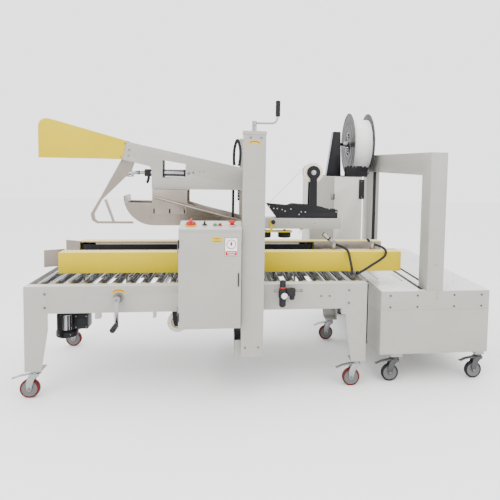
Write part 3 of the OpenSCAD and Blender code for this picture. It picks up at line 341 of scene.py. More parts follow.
def finished(bm, name, body, mats, bevel, replaced, limit=35):
    mesh = bpy.data.meshes.new(name)
    bm.to_mesh(mesh)
    bm.free()
    for mat in mats:
        mesh.materials.append(mat)
    piece = bpy.data.objects.new(name, mesh)
    bpy.context.scene.collection.objects.link(piece)
    if bevel:
        mod = piece.modifiers.new("edges", "BEVEL")
        mod.width = bevel / 1000
        mod.segments = 2
        mod.limit_method = "ANGLE"
        mod.angle_limit = math.radians(limit)
        mod.use_clamp_overlap = True
        graph = bpy.context.evaluated_depsgraph_get()
        made = bpy.data.meshes.new_from_object(piece.evaluated_get(graph))
        piece.modifiers.clear()
        piece.data = made
    for face in piece.data.polygons:
        face.use_smooth = True
    piece.data.set_sharp_from_angle(angle=math.radians(28 if bevel else limit))
    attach(piece, body)
    if replaced:
        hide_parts(*replaced)
    return piece


nodeBody = {n: b for b, ns in frame["record"]["behaviour"]["bodies"].items() for n in ns}


# a copy of a CAD node with rounded edges, whose faces take a material by their place
def dress(node, mats, bevel, pick=None):
    bm = bmesh.new()
    bm.from_mesh(frame["nodes"][node].data)
    bmesh.ops.remove_doubles(bm, verts=bm.verts, dist=0.000005)
    bmesh.ops.dissolve_limit(bm, angle_limit=math.radians(0.4), verts=bm.verts, edges=bm.edges)
    for face in bm.faces:
        face.smooth = True
        face.material_index = pick(*toBed(face.calc_center_median())) if pick else 0
    finished(bm, "shell_" + node, nodeBody[node], mats, bevel, (node,))


bedL = (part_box("bed_legs")[1].x - bedCorner.x) * 1000
bedW = (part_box("bed_legs")[1].y - bedCorner.y) * 1000
bedH = (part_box("bed_legs")[1].z - floorZ) * 1000
midY = bedW / 2

# sheet metal and plates kept from the CAD shapes

# the faces along the top edge of the rails and legs are painted pale grey: a painted highlight
for node in ("bed_rails", "bed_legs"):
    dress(node, (greyPaint, palePaintAndHighlight), 1.2, lambda x, y, z: 1 if z > bedH - 0.6 else 0)
housingTop = 293
dress("mast_columns", (greyPaint, blackPaint), 1.4,
      lambda x, y, z: 1 if z < housingTop and 1 < y < bedW - 1 else 0)
# the control box's top 40 mm take the pale grey as a painted highlight, the light that falls on the lid from above
dress("control_box", (greyPaint, palePaintAndHighlight), 1.4,
      lambda x, y, z: 1 if z > nodeBox("control_box")[1][2] - 40 else 0)
dress("control_door", (greyPaint, blackPlastic), 1.0,
      lambda x, y, z: 1 if y < nodeBox("control_box")[0][1] - 4 else 0)
dress("head_crossbeam", (greyPaint,), 1.2)
dress("head_beam", (greyPaint,), 1.2)
dress("head_guard", (yellowPaint,), 0.9)
dress("kicker_lever", (stainless,), 1.0)
dress("ski_presser", (stainless,), 0.8)
dress("upper_tape_head", (blackPaint,), 0.8)
dress("lower_tape_head", (blackPaint,), 0.8)
coverTop = nodeBox("near_belt_cover")[1][2]
# the covers' top faces are painted pale yellow: a painted highlight where the light falls on them
for side in ("near", "far"):
    dress(side + "_belt_cover", (yellowPaint, highlightYellow), 0.9,
          lambda x, y, z: 1 if z > coverTop - 0.6 else 0)
dress("near_belt_frame", (stainless,), 0.8)
dress("far_belt_frame", (stainless,), 0.8)
dress("near_belt", (beltRubber,), 0.6)
dress("far_belt", (beltRubber,), 0.6)
dress("near_pulley", (brightSteel,), 0.8)
dress("far_pulley", (brightSteel,), 0.8)
casingTop = nodeBox("strapper_base")[1][2]
dress("strapper_base", (greyPaint, tableWhite), 1.6,
      lambda x, y, z: 1 if z > casingTop - 0.6 else 0)
dress("strapper_arch", (greyPaint,), 1.6)
dress("strap_cabinet", (greyPaint,), 1.4)
dress("cabinet_door", (palePaintAndHighlight, blackPlastic), 1.0,
      lambda x, y, z: 1 if y < nodeBox("cabinet_door")[1][1] - 3 else 0)
dress("rear_screw", (threadSteel,), 0.5)
print("sheet metal dressed")

# rollers

rollers = {"radius": 22, "shaft": 6, "pitch": 76, "infeed": (50, 10), "outfeed": (1230, 8),
           "inset": 64, "cap": 9, "proud": 2, "guides": (240, 1420), "guideZ": 535}


def makeRollers(spec):
    p = Piece("roller_set", "machine", "bright_steel", rollerSteel, brassEnd, brightSteel)
    z = bedH + spec["proud"] - spec["radius"]
    r, cap, start, end = spec["radius"], spec["cap"], spec["inset"], bedW - spec["inset"]
    for first, count in (spec["infeed"], spec["outfeed"]):
        for i in range(count):
            x = first + i * spec["pitch"]
            p.lathe((x, start + cap, z), (0, 1, 0),
                    [(0, r - 1.5), (1.5, r), (end - start - 2 * cap - 1.5, r),
                     (end - start - 2 * cap, r - 1.5)], 28, 0)
            for y, way in ((start + cap, -1), (end - cap, 1)):
                p.lathe((x, y, z), (0, way, 0), [(0, r - 2), (cap - 3, r - 2), (cap - 1, r - 5),
                                                 (cap, 11), (cap, 7)], 24, 1)
            p.rod((x, 4, z), (x, bedW - 4, z), spec["shaft"], 6, 1)
    for x in spec["guides"]:
        p.rod((x, 3.5, spec["guideZ"]), (x, bedW - 3.5, spec["guideZ"]), 12, 24, 2)
    p.done(0, ("bed_rollers",))


makeRollers(rollers)

# casters

caster = {"radius": 50, "width": 28, "gap": 3, "plate": 3, "top": 150.5, "trail": 30,
          "reach": 118, "axle": 5}


def makeFork(name, body, slot, sx, sy, metal, pedalMat, replaced, wheelMats=None):
    c = caster
    p = Piece(name, body, slot, metal, pedalMat, screwSteel, *(wheelMats or ()))
    inner, outer = c["width"] / 2 + c["gap"], c["width"] / 2 + c["gap"] + c["plate"]
    ax = sx - c["trail"]
    cheek = ([(sx + 21, 133), (sx + 20, 118)]
             + [(sx + 20 - 32 * math.sin(math.radians(a)),
                 118 - 58 * (1 - math.cos(math.radians(a)))) for a in (20, 45, 65)]
             + arc(ax, c["radius"], 12, 0, -180, 8)
             + [(ax - 15, 84), (ax - 6, 112), (sx - 23, 133)])
    for y in ((-outer, -inner), (inner, outer)):
        p.plate(cheek, "y", (sy + y[0], sy + y[1]), 0)
    p.box((sx - 23, sx + 21), (sy - outer, sy + outer), (130, 133), 0)
    p.lathe((sx, sy, 133), (0, 0, 1), [(0, 21), (3, 22), (7, 22), (10, 20), (12, 20), (12.5, 21.9),
                                       (c["top"] - 133, 21.9)], 32, 0)
    p.box((sx - 21, sx + 21), (sy - 22, sy + 22), (c["top"] - 3, c["top"]), 0)
    for y, way in ((sy - outer, -1), (sy + outer, 1)):
        p.lathe((ax, y, c["radius"]), (0, way, 0), [(0, 9), (3.4, 9), (3.9, 7.8)], 6, 2)
    p.rod((ax, sy - outer, c["radius"]), (ax, sy + outer, c["radius"]), c["axle"], 16, 2)
    tip = sx - c["reach"]
    pedal = [(sx - 14, 129), (sx - 30, 124), (ax - 40, 117), (ax - 50, 116), (tip + 6, 103.5),
             (tip, 105), (tip, 108.5), (tip + 8, 107.5), (ax - 50, 120), (ax - 30, 123.5),
             (sx - 14, 133)]
    p.plate(pedal, "y", (sy - 13, sy + 13), 1)
    for i in range(3):
        x = tip + 10 + 9 * i
        p.box((x, x + 3), (sy - 10, sy + 10), (107 + 2.6 * i, 109.6 + 2.6 * i), 1)
    if wheelMats:
        makeWheel(p, ax, sy, 3)
    p.done(0.7, replaced)


def makeWheel(p, ax, sy, m):
    c = caster
    r, w = c["radius"], c["width"] / 2
    tread = [(-w, r - 5), (-w + 1.5, r - 2), (-w + 5, r - 0.3), (0, r),
             (w - 5, r - 0.3), (w - 1.5, r - 2), (w, r - 5), (w - 0.8, r - 9.5),
             (w - 5, r - 11), (-w + 5, r - 11), (-w + 0.8, r - 9.5), (-w, r - 5)]
    p.lathe((ax, sy, r), (0, 1, 0), tread, 56, m)
    for way in (-1, 1):
        disc = [(w - 9, 0.5), (w - 9, 12), (w - 1, 12), (w - 0.5, 11), (w - 0.5, 8), (w - 1, 7),
                (w + 0.5, 6.5)]
        rim = [(w - 8, 12), (w - 7, r - 17), (w - 1.5, r - 13), (w - 0.6, r - 10.4), (w - 4, r - 9)]
        p.lathe((ax, sy, r), (0, way, 0), rim, 40, m + 1)
        p.lathe((ax, sy, r), (0, way, 0), disc[1:], 24, m + 1)
        for k in range(5):
            a = math.tau * k / 5
            p.rod((ax + 23 * math.cos(a), sy + way * (w - 8.5), r + 23 * math.sin(a)),
                  (ax + 23 * math.cos(a), sy + way * (w - 6), r + 23 * math.sin(a)), 5, 12, m + 1)


def makeCasters():
    for side in ("front", "rear"):
        for end in ("left", "right"):
            tag = side + "_" + end
            sx, sy, z = jointPlace("caster_swivel_" + tag)[0]
            makeFork("fork_" + tag, "swivel_" + tag, "zinc_plate", sx, sy, zinc, zinc,
                     ("caster_fork_" + tag,))
            wheel = Piece("wheel_" + tag, "wheel_" + tag, "red_tyre", maroonTyre, hubGrey)
            makeWheel(wheel, sx - caster["trail"], sy, 0)
            wheel.done(0, ("caster_wheel_" + tag,))
            sx, sy, z = jointPlace("strapper_swivel_" + tag)[0]
            makeFork("table_caster_" + tag, "strapper_swivel_" + tag, "zinc_plate", sx, sy,
                     darkZinc, hubGrey, ("strapper_caster_" + tag,), (blackRubber, hubGrey))


makeCasters()
print("rollers and casters made")

# cranks

headCrank = {"screw": 10, "hub": 12, "hubTop": 53, "armZ": 43, "armR": 5.5, "reach": 122,
             "gripR": 13, "grip": (79, 162)}


def grip(p, start, end, r, m, grooves=7):
    length = (Vector(end) - Vector(start)).length
    profile = [(0, r - 4), (2, r - 1.2), (5, r)]
    for i in range(grooves):
        h = 9 + (length - 18) * i / (grooves - 1)
        profile += [(h - 1.8, r - 0.2), (h - 0.9, r - 1.5), (h + 0.9, r - 1.5), (h + 1.8, r - 0.2)]
    profile += [(length - 5, r), (length - 2, r - 1.2), (length, r - 4)]
    p.lathe(start, Vector(end) - Vector(start), profile, 28, m)


def makeHeadCrank(spec):
    x, y, z = jointPlace("head_crank_turn")[0]
    top = nodeBox("mast_columns")[1][2]
    low = nodeBox("head_crank")[0][2]
    p = Piece("head_crank_set", "head_screw", "bright_steel", brightSteel, threadSteel,
              blackPlastic, screwSteel)
    p.rod((x, y, low + 12), (x, y, top + 1), spec["screw"], 32, 1)
    p.lathe((x, y, low), (0, 0, 1), [(0, 20), (2, 22), (10, 22), (12, 20)], 40, 0)
    p.lathe((x, y, top + 1), (0, 0, 1), [(0, spec["hub"] - 1), (1, spec["hub"]),
                                         (spec["hubTop"] - 2, spec["hub"]),
                                         (spec["hubTop"] - 1, spec["hub"] - 1)], 36, 0)
    bend = smoothPath([(x, y, top + spec["armZ"]), (x + 40, y, top + spec["armZ"]),
                       (x + 88, y, top + spec["armZ"] + 1), (x + 108, y, top + spec["armZ"] + 6),
                       (x + 118, y, top + spec["armZ"] + 22),
                       (x + spec["reach"], y, top + spec["armZ"] + 42)], 5)
    p.tube(bend, spec["armR"], 16, 0)
    grip(p, (x + spec["reach"], y, top + spec["grip"][0]), (x + spec["reach"], y,
         top + spec["grip"][1]), spec["gripR"], 2)
    p.screw((x, y - spec["hub"], top + 30), (0, -1, 0), 4, 3)
    p.done(0, ("head_crank",))


makeHeadCrank(headCrank)

widthCrank = {"screw": 10, "hub": 17, "armTop": 13, "armLow": 9, "gripR": 14}


def makeWidthCrank(spec):
    x, y, z = jointPlace("width_crank_turn")[0]
    low, high = nodeBox("width_crank")
    gripZ = low[2] + spec["gripR"]
    p = Piece("width_crank_set", "width_screw", "bright_steel", brightSteel, threadSteel,
              blackPlastic, screwSteel)
    p.rod((x, -16, z), (x, high[1], z), spec["screw"], 28, 0)
    p.lathe((x, -50, z), (0, 1, 0), [(0, 14), (2, 17), (28, 17), (30, 15), (30, 10)], 36, 0)
    arm = ([(x - spec["armTop"], z + 4)] + [(x + spec["armTop"] * math.cos(math.radians(a)),
           z + 4 + spec["armTop"] * math.sin(math.radians(a))) for a in (150, 120, 90, 60, 30, 0)]
           + [(x + spec["armLow"] * math.cos(math.radians(a)),
               gripZ - spec["armLow"] * math.sin(math.radians(a))) for a in (0, 45, 90, 135, 180)])
    p.plate(arm, "y", (-56, -50), 0)
    p.rod((x, -70, gripZ), (x, -50, gripZ), 6, 20, 0)
    grip(p, (x, -68, gripZ), (x, low[1], gripZ), spec["gripR"], 2, 6)
    p.lathe((x, low[1], gripZ), (0, -1, 0), [(-0.5, 5), (-0.1, 5), (-0.1, 2)], 20, 3)
    p.lathe((x, -56, z), (0, -1, 0), [(0, 7), (3, 7), (4, 5)], 6, 3)
    p.done(0.5, ("width_crank",))


makeWidthCrank(widthCrank)

# air parts

kickAir = {"barrel": 23, "rodR": 9, "cap": (764, 800), "head": (536, 572), "rodEnd": 480}


def makeKickerAir(spec):
    x, y, z = jointPlace("cylinder_tilt")[0]
    p = Piece("kicker_cylinder_set", "cylinder", "bright_steel", brightSteel, blackPlastic,
              screwSteel, brassEnd)
    r = spec["barrel"]
    p.lathe((570, y, z), (1, 0, 0), [(0, r - 3), (1, r - 1.5), (206, r - 1.5), (207, r - 3)], 48, 0)
    p.box((spec["head"][0], spec["head"][1]), (y - r + 2, y + r - 2), (z - r + 2, z + r - 2), 1)
    p.box((spec["cap"][0], spec["cap"][1]), (y - r + 1, y + r - 1), (z - r + 1, z + r - 1), 1)
    for dy in (-1, 1):
        for dz in (-1, 1):
            p.rod((560, y + dy * 17, z + dz * 17), (790, y + dy * 17, z + dz * 17), 2.2, 10, 0)
    p.rod((x, midY - 59.5, z), (x, midY + 59.5, z), 7.9, 24, 2)
    p.lathe((spec["head"][0] + 1, y, z), (-1, 0, 0), [(0, 13), (6, 13), (8, 11)], 24, 3)
    elbow = smoothPath([(556, y, z - 18), (556, y, z - 34), (553, y, z - 44), (550, y, z - 54)], 4)
    p.tube(elbow, 8, 16, 1)
    p.lathe((550, y, z - 52), (-0.2, 0, -1), [(0, 9), (5, 9), (7, 6), (13, 3.5)], 20, 1)
    p.done(0.8, ("kicker_cylinder",))
    q = Piece("kicker_rod_set", "rod", "bright_steel", brightSteel, screwSteel)
    a = spec["rodEnd"]
    q.rod((a + 8, y, z), (698, y, z), spec["rodR"] - 0.5, 32, 0)
    q.lathe((a + 16, y, z), (1, 0, 0), [(0, 14), (8, 14), (9, 12)], 6, 1)
    q.lathe((a, y, z), (1, 0, 0), [(0, 9), (2, 10.5), (11, 10.5), (12, 9)], 24, 0)
    low, high = nodeBox("kicker_rod")
    cz = low[2] + 6
    for s in (-1, 1):
        q.plate([(440 + 1, cz - 1), (444, cz - 5), (456, cz - 5.5), (a + 6, z - 10), (a + 6, z + 6),
                 (a - 16, z + 6), (444, cz + 8), (441, cz + 4)], "y",
                (midY + s * 5.2, midY + s * 8.8), 0)
        q.lathe((450, midY + s * 8.8, cz), (0, s, 0), [(-0.2, 5.8), (0.1, 5.5)], 20, 1)
    q.rod((450, midY - 8.9, cz), (450, midY + 8.9, cz), 3.9, 20, 1)
    q.done(0.5, ("kicker_rod",))


makeKickerAir(kickAir)

regulator = {"gauge": 19, "knob": 17}


def makeRegulator(spec):
    x, y, z = jointPlace("regulator_knob_turn")[0]
    low, high = nodeBox("air_regulator")
    p = Piece("air_regulator_set", "machine", "black_plastic", blackPlastic, screwSteel,
              labelWhite, redPlastic, brassEnd)
    top = 583
    p.lathe((x, y, 533), (0, 0, 1), [(0, 20), (4, 22), (40, 22), (44, 20), (49, 20)], 8, 0)
    p.lathe((x, y, 483), (0, 0, 1), [(0, 12), (6, 16), (12, 18), (50, 18)], 32, 0)
    for k in range(4):
        p.lathe((x, y, 490 + 9 * k), (0, 0, 1), [(0, 18), (1, 18.6), (3, 18.6), (4, 18)], 32, 0)
    p.rod((x, y, 470), (x, y, 484), 5, 16, 4)
    p.box((x + 20, x + 67), (y - 17, y + 17), (546, top - 1), 0)
    p.lathe((x + 51, y, 521), (0, 0, 1), [(0, 9), (4, 14), (24, 15)], 28, 0)
    p.lathe((x + 51, y, top - 1), (0, 0, 1), [(0, 13), (2, 13), (3, 11)], 28, 0)
    p.lathe((x, y, top - 1), (0, 0, 1), [(0, 18), (1.9, 18), (1.9, 9), (26, 8.9)], 32, 0)
    p.lathe((x - 47, y, 570), (1, 0, 0), [(0, 6), (2, 8), (16, 8), (16, 6.5), (27, 6.5)], 6, 1)
    p.lathe((x + 109, y, 570), (-1, 0, 0), [(0, 6), (2, 8), (16, 8), (16, 6.5), (42, 6.5)], 6, 1)
    p.box((x - 15, x + 15), (y + 20, -0.2), (540, 576), 1)
    gy = low[1]
    p.lathe((x + 7, y - 20, 549), (0, -1, 0), [(0, 12), (4, spec["gauge"]), (11, spec["gauge"]),
                                                (11.8, 17.5), (10.6, 17)], 40, 0)
    p.lathe((x + 7, gy + 1.6, 549), (0, -1, 0), [(0, 16.8), (0.2, 16.8)], 40, 2)
    for k in range(9):
        a = math.radians(-45 + 33.75 * k)
        p.rod((x + 7 + 12 * math.cos(a), gy + 1.2, 549 + 12 * math.sin(a)),
              (x + 7 + 15 * math.cos(a), gy + 1.2, 549 + 15 * math.sin(a)), 0.5, 4, 0)
    p.rod((x + 7 - 3, gy + 1.2, 545), (x + 7 + 8, gy + 1.2, 557), 0.6, 6, 3)
    p.done(0.6, ("air_regulator",))
    k = Piece("regulator_knob_set", "air_knob", "black_plastic", blackPlastic, redPlastic)
    r = spec["knob"]
    k.lathe((x, y, top + 1.4), (0, 0, 1), [(0, r - 0.4), (1, r), (6, r), (7, r - 0.5)], 36, 1)
    k.lathe((x, y, top + 8.4), (0, 0, 1), [(0, r - 2), (2, r - 1), (30, r - 1.4), (34, r - 3.5),
                                           (36, r - 8)], 36, 0)
    for i in range(18):
        a = math.tau * i / 18
        c, s = math.cos(a), math.sin(a)
        k.rod((x + (r - 1.6) * c, y + (r - 1.6) * s, top + 12),
              (x + (r - 1.6) * c, y + (r - 1.6) * s, top + 38), 1.4, 6, 0)
    k.done(0, ("regulator_knob",))


makeRegulator(regulator)
print("cranks and air parts made")

# control box: switches, hinges and labels

panel = {"plateR": 31, "ringR": 24}


def makeSwitches(spec):
    def raised(joint, lift):
        place, axis = jointPlace(joint)
        n = Vector(axis) if axis.z > 0 else -Vector(axis)
        return Vector(place) + n * lift, n
    base, n = raised("main_switch_turn", -10)
    p = Piece("main_switch_set", "power_switch", "red_plastic", redPlastic, labelYellow,
              blackPlastic)
    p.lathe(base, n, [(1.2, 30), (2, spec["plateR"]), (5, spec["plateR"]), (6.5, 29.5)], 36, 1)
    p.lathe(base, n, [(6, spec["ringR"]), (7, 25), (14, 24.5), (17, 22)], 40, 0)
    for k in range(12):
        a = math.tau * k / 12
        u, v, d = basis(n)
        c = base + (u * math.cos(a) + v * math.sin(a)) * 22
        p.lathe(c, n, [(7, 3.2), (15, 3.0), (16, 2)], 10, 0)
    u, v, d = basis(n)
    across = Vector((1, 0, 0))
    along = n.cross(across)
    ridge = [base + across * sx * 6.5 + along * sy * 23 + n * h
             for h in (15, 32) for sx, sy in ((-1, -1), (1, -1), (1, 1), (-1, 1))]
    p.add([tuple(q) for q in ridge], [(0, 1, 2, 3), (7, 6, 5, 4), (0, 4, 5, 1), (1, 5, 6, 2),
                                      (2, 6, 7, 3), (3, 7, 4, 0)], 0)
    p.rod(base + n * (-5), base + n * 7, 10.8, 20, 2)
    p.done(1.2, ("main_switch",))
    base, n = raised("mode_selector_turn", -10)
    p = Piece("mode_selector_set", "mode_knob", "black_plastic", blackPlastic, brightSteel,
              labelWhite)
    p.lathe(base, n, [(1.2, 13), (2, 14), (4, 14), (5, 12.5)], 32, 1)
    p.lathe(base, n, [(-5, 10.8), (7, 10.8), (8, 10)], 24, 0)
    along = n.cross(Vector((1, 0, 0)))
    lever = [base + Vector((sx * 4.5, 0, 0)) + along * sy * 13.5 + n * h
             for h in (7, 20.5) for sx, sy in ((-1, -1), (1, -1), (1, 1), (-1, 1))]
    p.add([tuple(q) for q in lever], [(0, 1, 2, 3), (7, 6, 5, 4), (0, 4, 5, 1), (1, 5, 6, 2),
                                      (2, 6, 7, 3), (3, 7, 4, 0)], 0)
    p.done(1.0, ("mode_selector",))


makeSwitches(panel)


# the press joints carry no place, so the buttons are found from their nodes
def makeButtons():
    n = -Vector(next(j for j in frame["joints"] if j["name"] == "start_press")["axis"])
    for node, body, mat, slot in (("start_button", "start", greenPlastic, "green_plastic"),
                                  ("stop_button", "stop", redPlastic, "red_plastic")):
        low, high = nodeBox(node)
        mid = (Vector(low) + Vector(high)) / 2
        seat = mid - n * 1.5
        p = Piece(node + "_set", body, slot, mat, brightSteel)
        p.lathe(seat, n, [(-7.5, 7.8), (6.9, 7.8), (7.5, 9.4), (10, 9.4), (11, 8.6)], 28, 0)
        p.done(0.3, (node,))
        ring = Piece(node + "_ring", "machine", "bright_steel", brightSteel)
        ring.lathe(seat, n, [(0.2, 12.5), (2, 12.5), (2.6, 11.5), (2.6, 8.6), (0.2, 8.6),
                             (0.2, 12.5)], 28, 0)
        ring.done()
    low, high = nodeBox("emergency_stop")
    mid = (Vector(low) + Vector(high)) / 2
    seat = mid - n * 9
    p = Piece("emergency_stop_set", "estop", "red_plastic", redPlastic, labelWhite)
    p.lathe(seat, n, [(-7.5, 10.8), (14, 10.8), (15, 13.5), (20, 19.2), (23.5, 19.6), (25.5, 17),
                      (26, 11)], 40, 0)
    p.done(0.3, ("emergency_stop",))
    ring = Piece("emergency_collar", "machine", "grey_paint", palePaintAndHighlight, brightSteel)
    ring.lathe(seat, n, [(0.2, 17), (3, 17), (4, 15.5), (4, 11.6), (0.2, 11.6), (0.2, 17)], 36, 0)
    ring.done()


makeButtons()

signs = {"warning": (948, 1002, 838, 866), "ban": (1016, 1078, 768, 860), "lift": 0.35}


def makeBoxLabels(spec):
    boxLow, boxHigh = nodeBox("control_box")
    y = boxLow[1] - 2.5
    face = y - spec["lift"]
    p = Piece("box_labels", "box_door", "yellow_paint", labelYellow, labelBlack, labelWhite,
              labelRed)
    x0, x1, z0, z1 = spec["warning"]
    p.box((x0, x1), (face, y), (z0, z1), 0)
    for i, (a, b) in enumerate(((0.16, 0.84), (0.40, 0.60), (0.12, 0.88))):
        z = z1 - 5.5 - 8 * i
        p.box((x0 + (x1 - x0) * a, x0 + (x1 - x0) * b), (face - 0.15, face), (z - 2.2, z), 1)
    x0, x1, z0, z1 = spec["ban"]
    p.box((x0 - 2, x1 + 2), (face, y), (z0 - 2, z1 + 2), 1)
    p.box((x0, x1), (face - 0.15, face), (z0, z1), 2)
    mid = ((x0 + x1) / 2, z1 - 32)
    ring = arc(mid[0], mid[1], 25, 0, 360, 40)[:-1]
    hole = arc(mid[0], mid[1], 21, 0, 360, 40)[:-1]
    pts = [(a, face - 0.3, b) for a, b in ring] + [(a, face - 0.3, b) for a, b in hole]
    p.add(pts, [(i, (i + 1) % 40, 40 + (i + 1) % 40, 40 + i) for i in range(40)], 3)
    bolt = [(mid[0] - 3, mid[1] + 12), (mid[0] + 7, mid[1] + 12), (mid[0] + 2, mid[1] + 2),
            (mid[0] + 8, mid[1] + 2), (mid[0] - 5, mid[1] - 14), (mid[0] - 1, mid[1] - 2),
            (mid[0] - 7, mid[1] - 2)]
    p.plate(bolt, "y", (face - 0.35, face - 0.16), 1)
    p.box((x0 + 2, x1 - 2), (face - 0.3, face - 0.16), (z0 + 2, z0 + 25), 3)
    for i, z in enumerate((z0 + 17, z0 + 9)):
        p.box((x0 + 9 + 5 * i, x1 - 9 - 5 * i), (face - 0.4, face - 0.3), (z - 1.6, z + 1.2), 2)
    p.done()
    h = Piece("box_hinges", "machine", "grey_paint", screwSteel, blackPlastic)
    for z in (boxLow[2] + 70, boxHigh[2] - 150):
        h.rod((boxLow[0] - 2.5, boxLow[1] + 4, z), (boxLow[0] - 2.5, boxLow[1] + 4, z + 46), 3.4,
              16, 0)
    h.done()


makeBoxLabels(signs)


# a yellow arc with a red arc on it, as beside a crank
def arcLabel(name, body, x, z, y, r, wide, mats):
    p = Piece(name, body, "yellow_paint", *mats)
    for span, thick, out, m in ((wide, 6.5, 0.3, 0), (wide * 0.72, 2.6, 0.5, 1)):
        a0, a1 = 90 + span, 90 - span
        outer, inner = arc(x, z, r + thick, a0, a1, 16), arc(x, z, r - thick, a1, a0, 16)
        if m:
            outer = arc(x, z, r + thick + 1, a0, a1, 16)
            inner = arc(x, z, r - thick + 2, a1, a0, 16)
        p.plate(outer + inner, "y", (y - out, y - (0 if m == 0 else 0.3)), m)
    p.done()


labelMats = (labelYellow, labelRed)
arcLabel("head_crank_label", "machine", 1161, 1318, nodeBox("mast_columns")[0][1] + 3, 40, 55,
         labelMats)
arcLabel("width_crank_label", "machine", 468, 533, 0, 40, 58, labelMats)
print("controls and labels made")

# tape, motor, hoses and sensors

roll = {"radius": 62, "half": 25, "core": 38, "wall": 4, "spindle": 9.2}


def makeRoll(name, body, joint, replaced, filmMat, coreMat):
    x, y, z = jointPlace(joint)[0]
    r, h, c = roll["radius"], roll["half"], roll["core"]
    p = Piece(name, body, "sealing_tape", filmMat, tapeSide, coreMat)
    p.lathe((x, y, z), (0, 1, 0), [(-h + 0.6, r - 0.3), (-h + 1.2, r), (h - 1.2, r),
                                   (h - 0.6, r - 0.3)], 72, 0)
    for way in (-1, 1):
        rings = []
        for i in range(12):
            rr = c + (r - 0.6 - c) * i / 11
            rings.append((h - (0.0 if i % 2 else 0.5), rr))
        p.lathe((x, y, z), (0, way, 0), [(h - 1.5, c)] + rings + [(h - 1.5, r - 0.4)], 72, 1)
        p.lathe((x, y, z), (0, way, 0), [(h - 3, c), (h - 0.2, c), (h - 0.2, c - roll["wall"]),
                                         (h - 6, c - roll["wall"] - 1), (h - 7, 15), (h - 2, 15),
                                         (h - 2, roll["spindle"])], 48, 2)
    p.done(0, replaced)


for name, film, core in (("upper", tapeSide, whitePlastic), ("lower", tapeFilm, blackPlastic)):
    makeRoll(name + "_roll", name + "_roll", name + "_roll_spin", (name + "_tape_roll",), film,
             core)

web = {"half": 23, "end": (1276, 1002), "thick": 0.3}


def makeTapeWeb(spec):
    x, y, z = jointPlace("upper_roll_spin")[0]
    ex, ez = spec["end"]
    r = roll["radius"]
    length = math.hypot(x - ex, z - ez)
    lean = math.degrees(math.atan2(z - ez, x - ex)) + 90 + math.degrees(math.asin(r / length))
    tx = x + r * math.cos(math.radians(lean))
    tz = z + r * math.sin(math.radians(lean))
    p = Piece("tape_web", "head", "sealing_tape", tapeWeb)
    n = 12
    top = [(tx + (ex - tx) * i / n, tz + (ez - tz) * i / n - 2.5 * math.sin(math.pi * i / n))
           for i in range(n + 1)]
    p.plate([(a, b + spec["thick"]) for a, b in top] + [(a, b) for a, b in reversed(top)], "y",
            (y - spec["half"], y + spec["half"]), 0)
    p.done()


makeTapeWeb(web)

motor = {"x": 150, "y": 208, "r": 50, "top": 400}


def makeMotor(spec):
    low, high = nodeBox("drive_motor")
    x, y, r = spec["x"], spec["y"], spec["r"]
    z0, z1 = low[2], spec["top"]
    p = Piece("drive_motor_set", "machine", "black_paint", blackPaint, brightSteel, screwSteel)
    p.lathe((x, y, z0), (0, 0, 1), [(0, r - 4), (4, r + 4), (10, r + 8), (34, r + 8), (40, r + 4),
                                    (44, r)], 48, 0)
    p.lathe((x, y, z0 + 44), (0, 0, 1), [(0, r - 2), (z1 - z0 - 46, r - 2)], 48, 1)
    for k in range(26):
        a = math.tau * k / 26
        if 4.45 < a < 5.05:
            continue
        c, s = math.cos(a), math.sin(a)
        p.rod((x + (r - 1) * c, y + (r - 1) * s, z0 + 44), (x + (r - 1) * c, y + (r - 1) * s,
              z1 - 4), 4.4, 8, 0)
    p.box((x + r - 4, x + r + 70), (y - 44, y + 44), (z0 + 52, z1), 0)
    p.box((x - 40, x + r + 64), (y - 40, y + 40), (z1, z1 + 8), 0)
    p.box((x - 30, x), (y - 58, y + 40), (z1 + 1, high[2]), 0)
    p.lathe((x + r + 36, y - 44, z0 + 90), (0, -1, 0), [(0, 30), (2, 30), (3, 27)], 36, 0)
    for dx, dz in ((-26, 62), (-26, 122), (28, 62), (28, 122)):
        p.screw((x + r + 34 + dx, y - 44, z0 + dz), (0, -1, 0), 4.5, 2)
    for dx in (-30, 30):
        p.screw((x + dx, y - (r + 8) * 0.86, z0 + 22), (0, -1, 0), 4.5, 2)
    p.done(1.2, ("drive_motor",))


makeMotor(motor)

leads = {"radius": 8, "y": 268, "top": 762,
         "first": ((1672, 268, 770), (1696, 228, 764), (1714, 196, 757), (1725, 168, 744),
                   (1730, 145, 712), (1729, 100, 678), (1724, 58, 654), (1716, 28, 640)),
         "second": ((1908, 268, 770), (1934, 240, 764), (1950, 204, 757), (1953, 172, 744),
                    (1942, 150, 722), (1905, 128, 700), (1850, 96, 678), (1800, 64, 658),
                    (1752, 34, 642))}


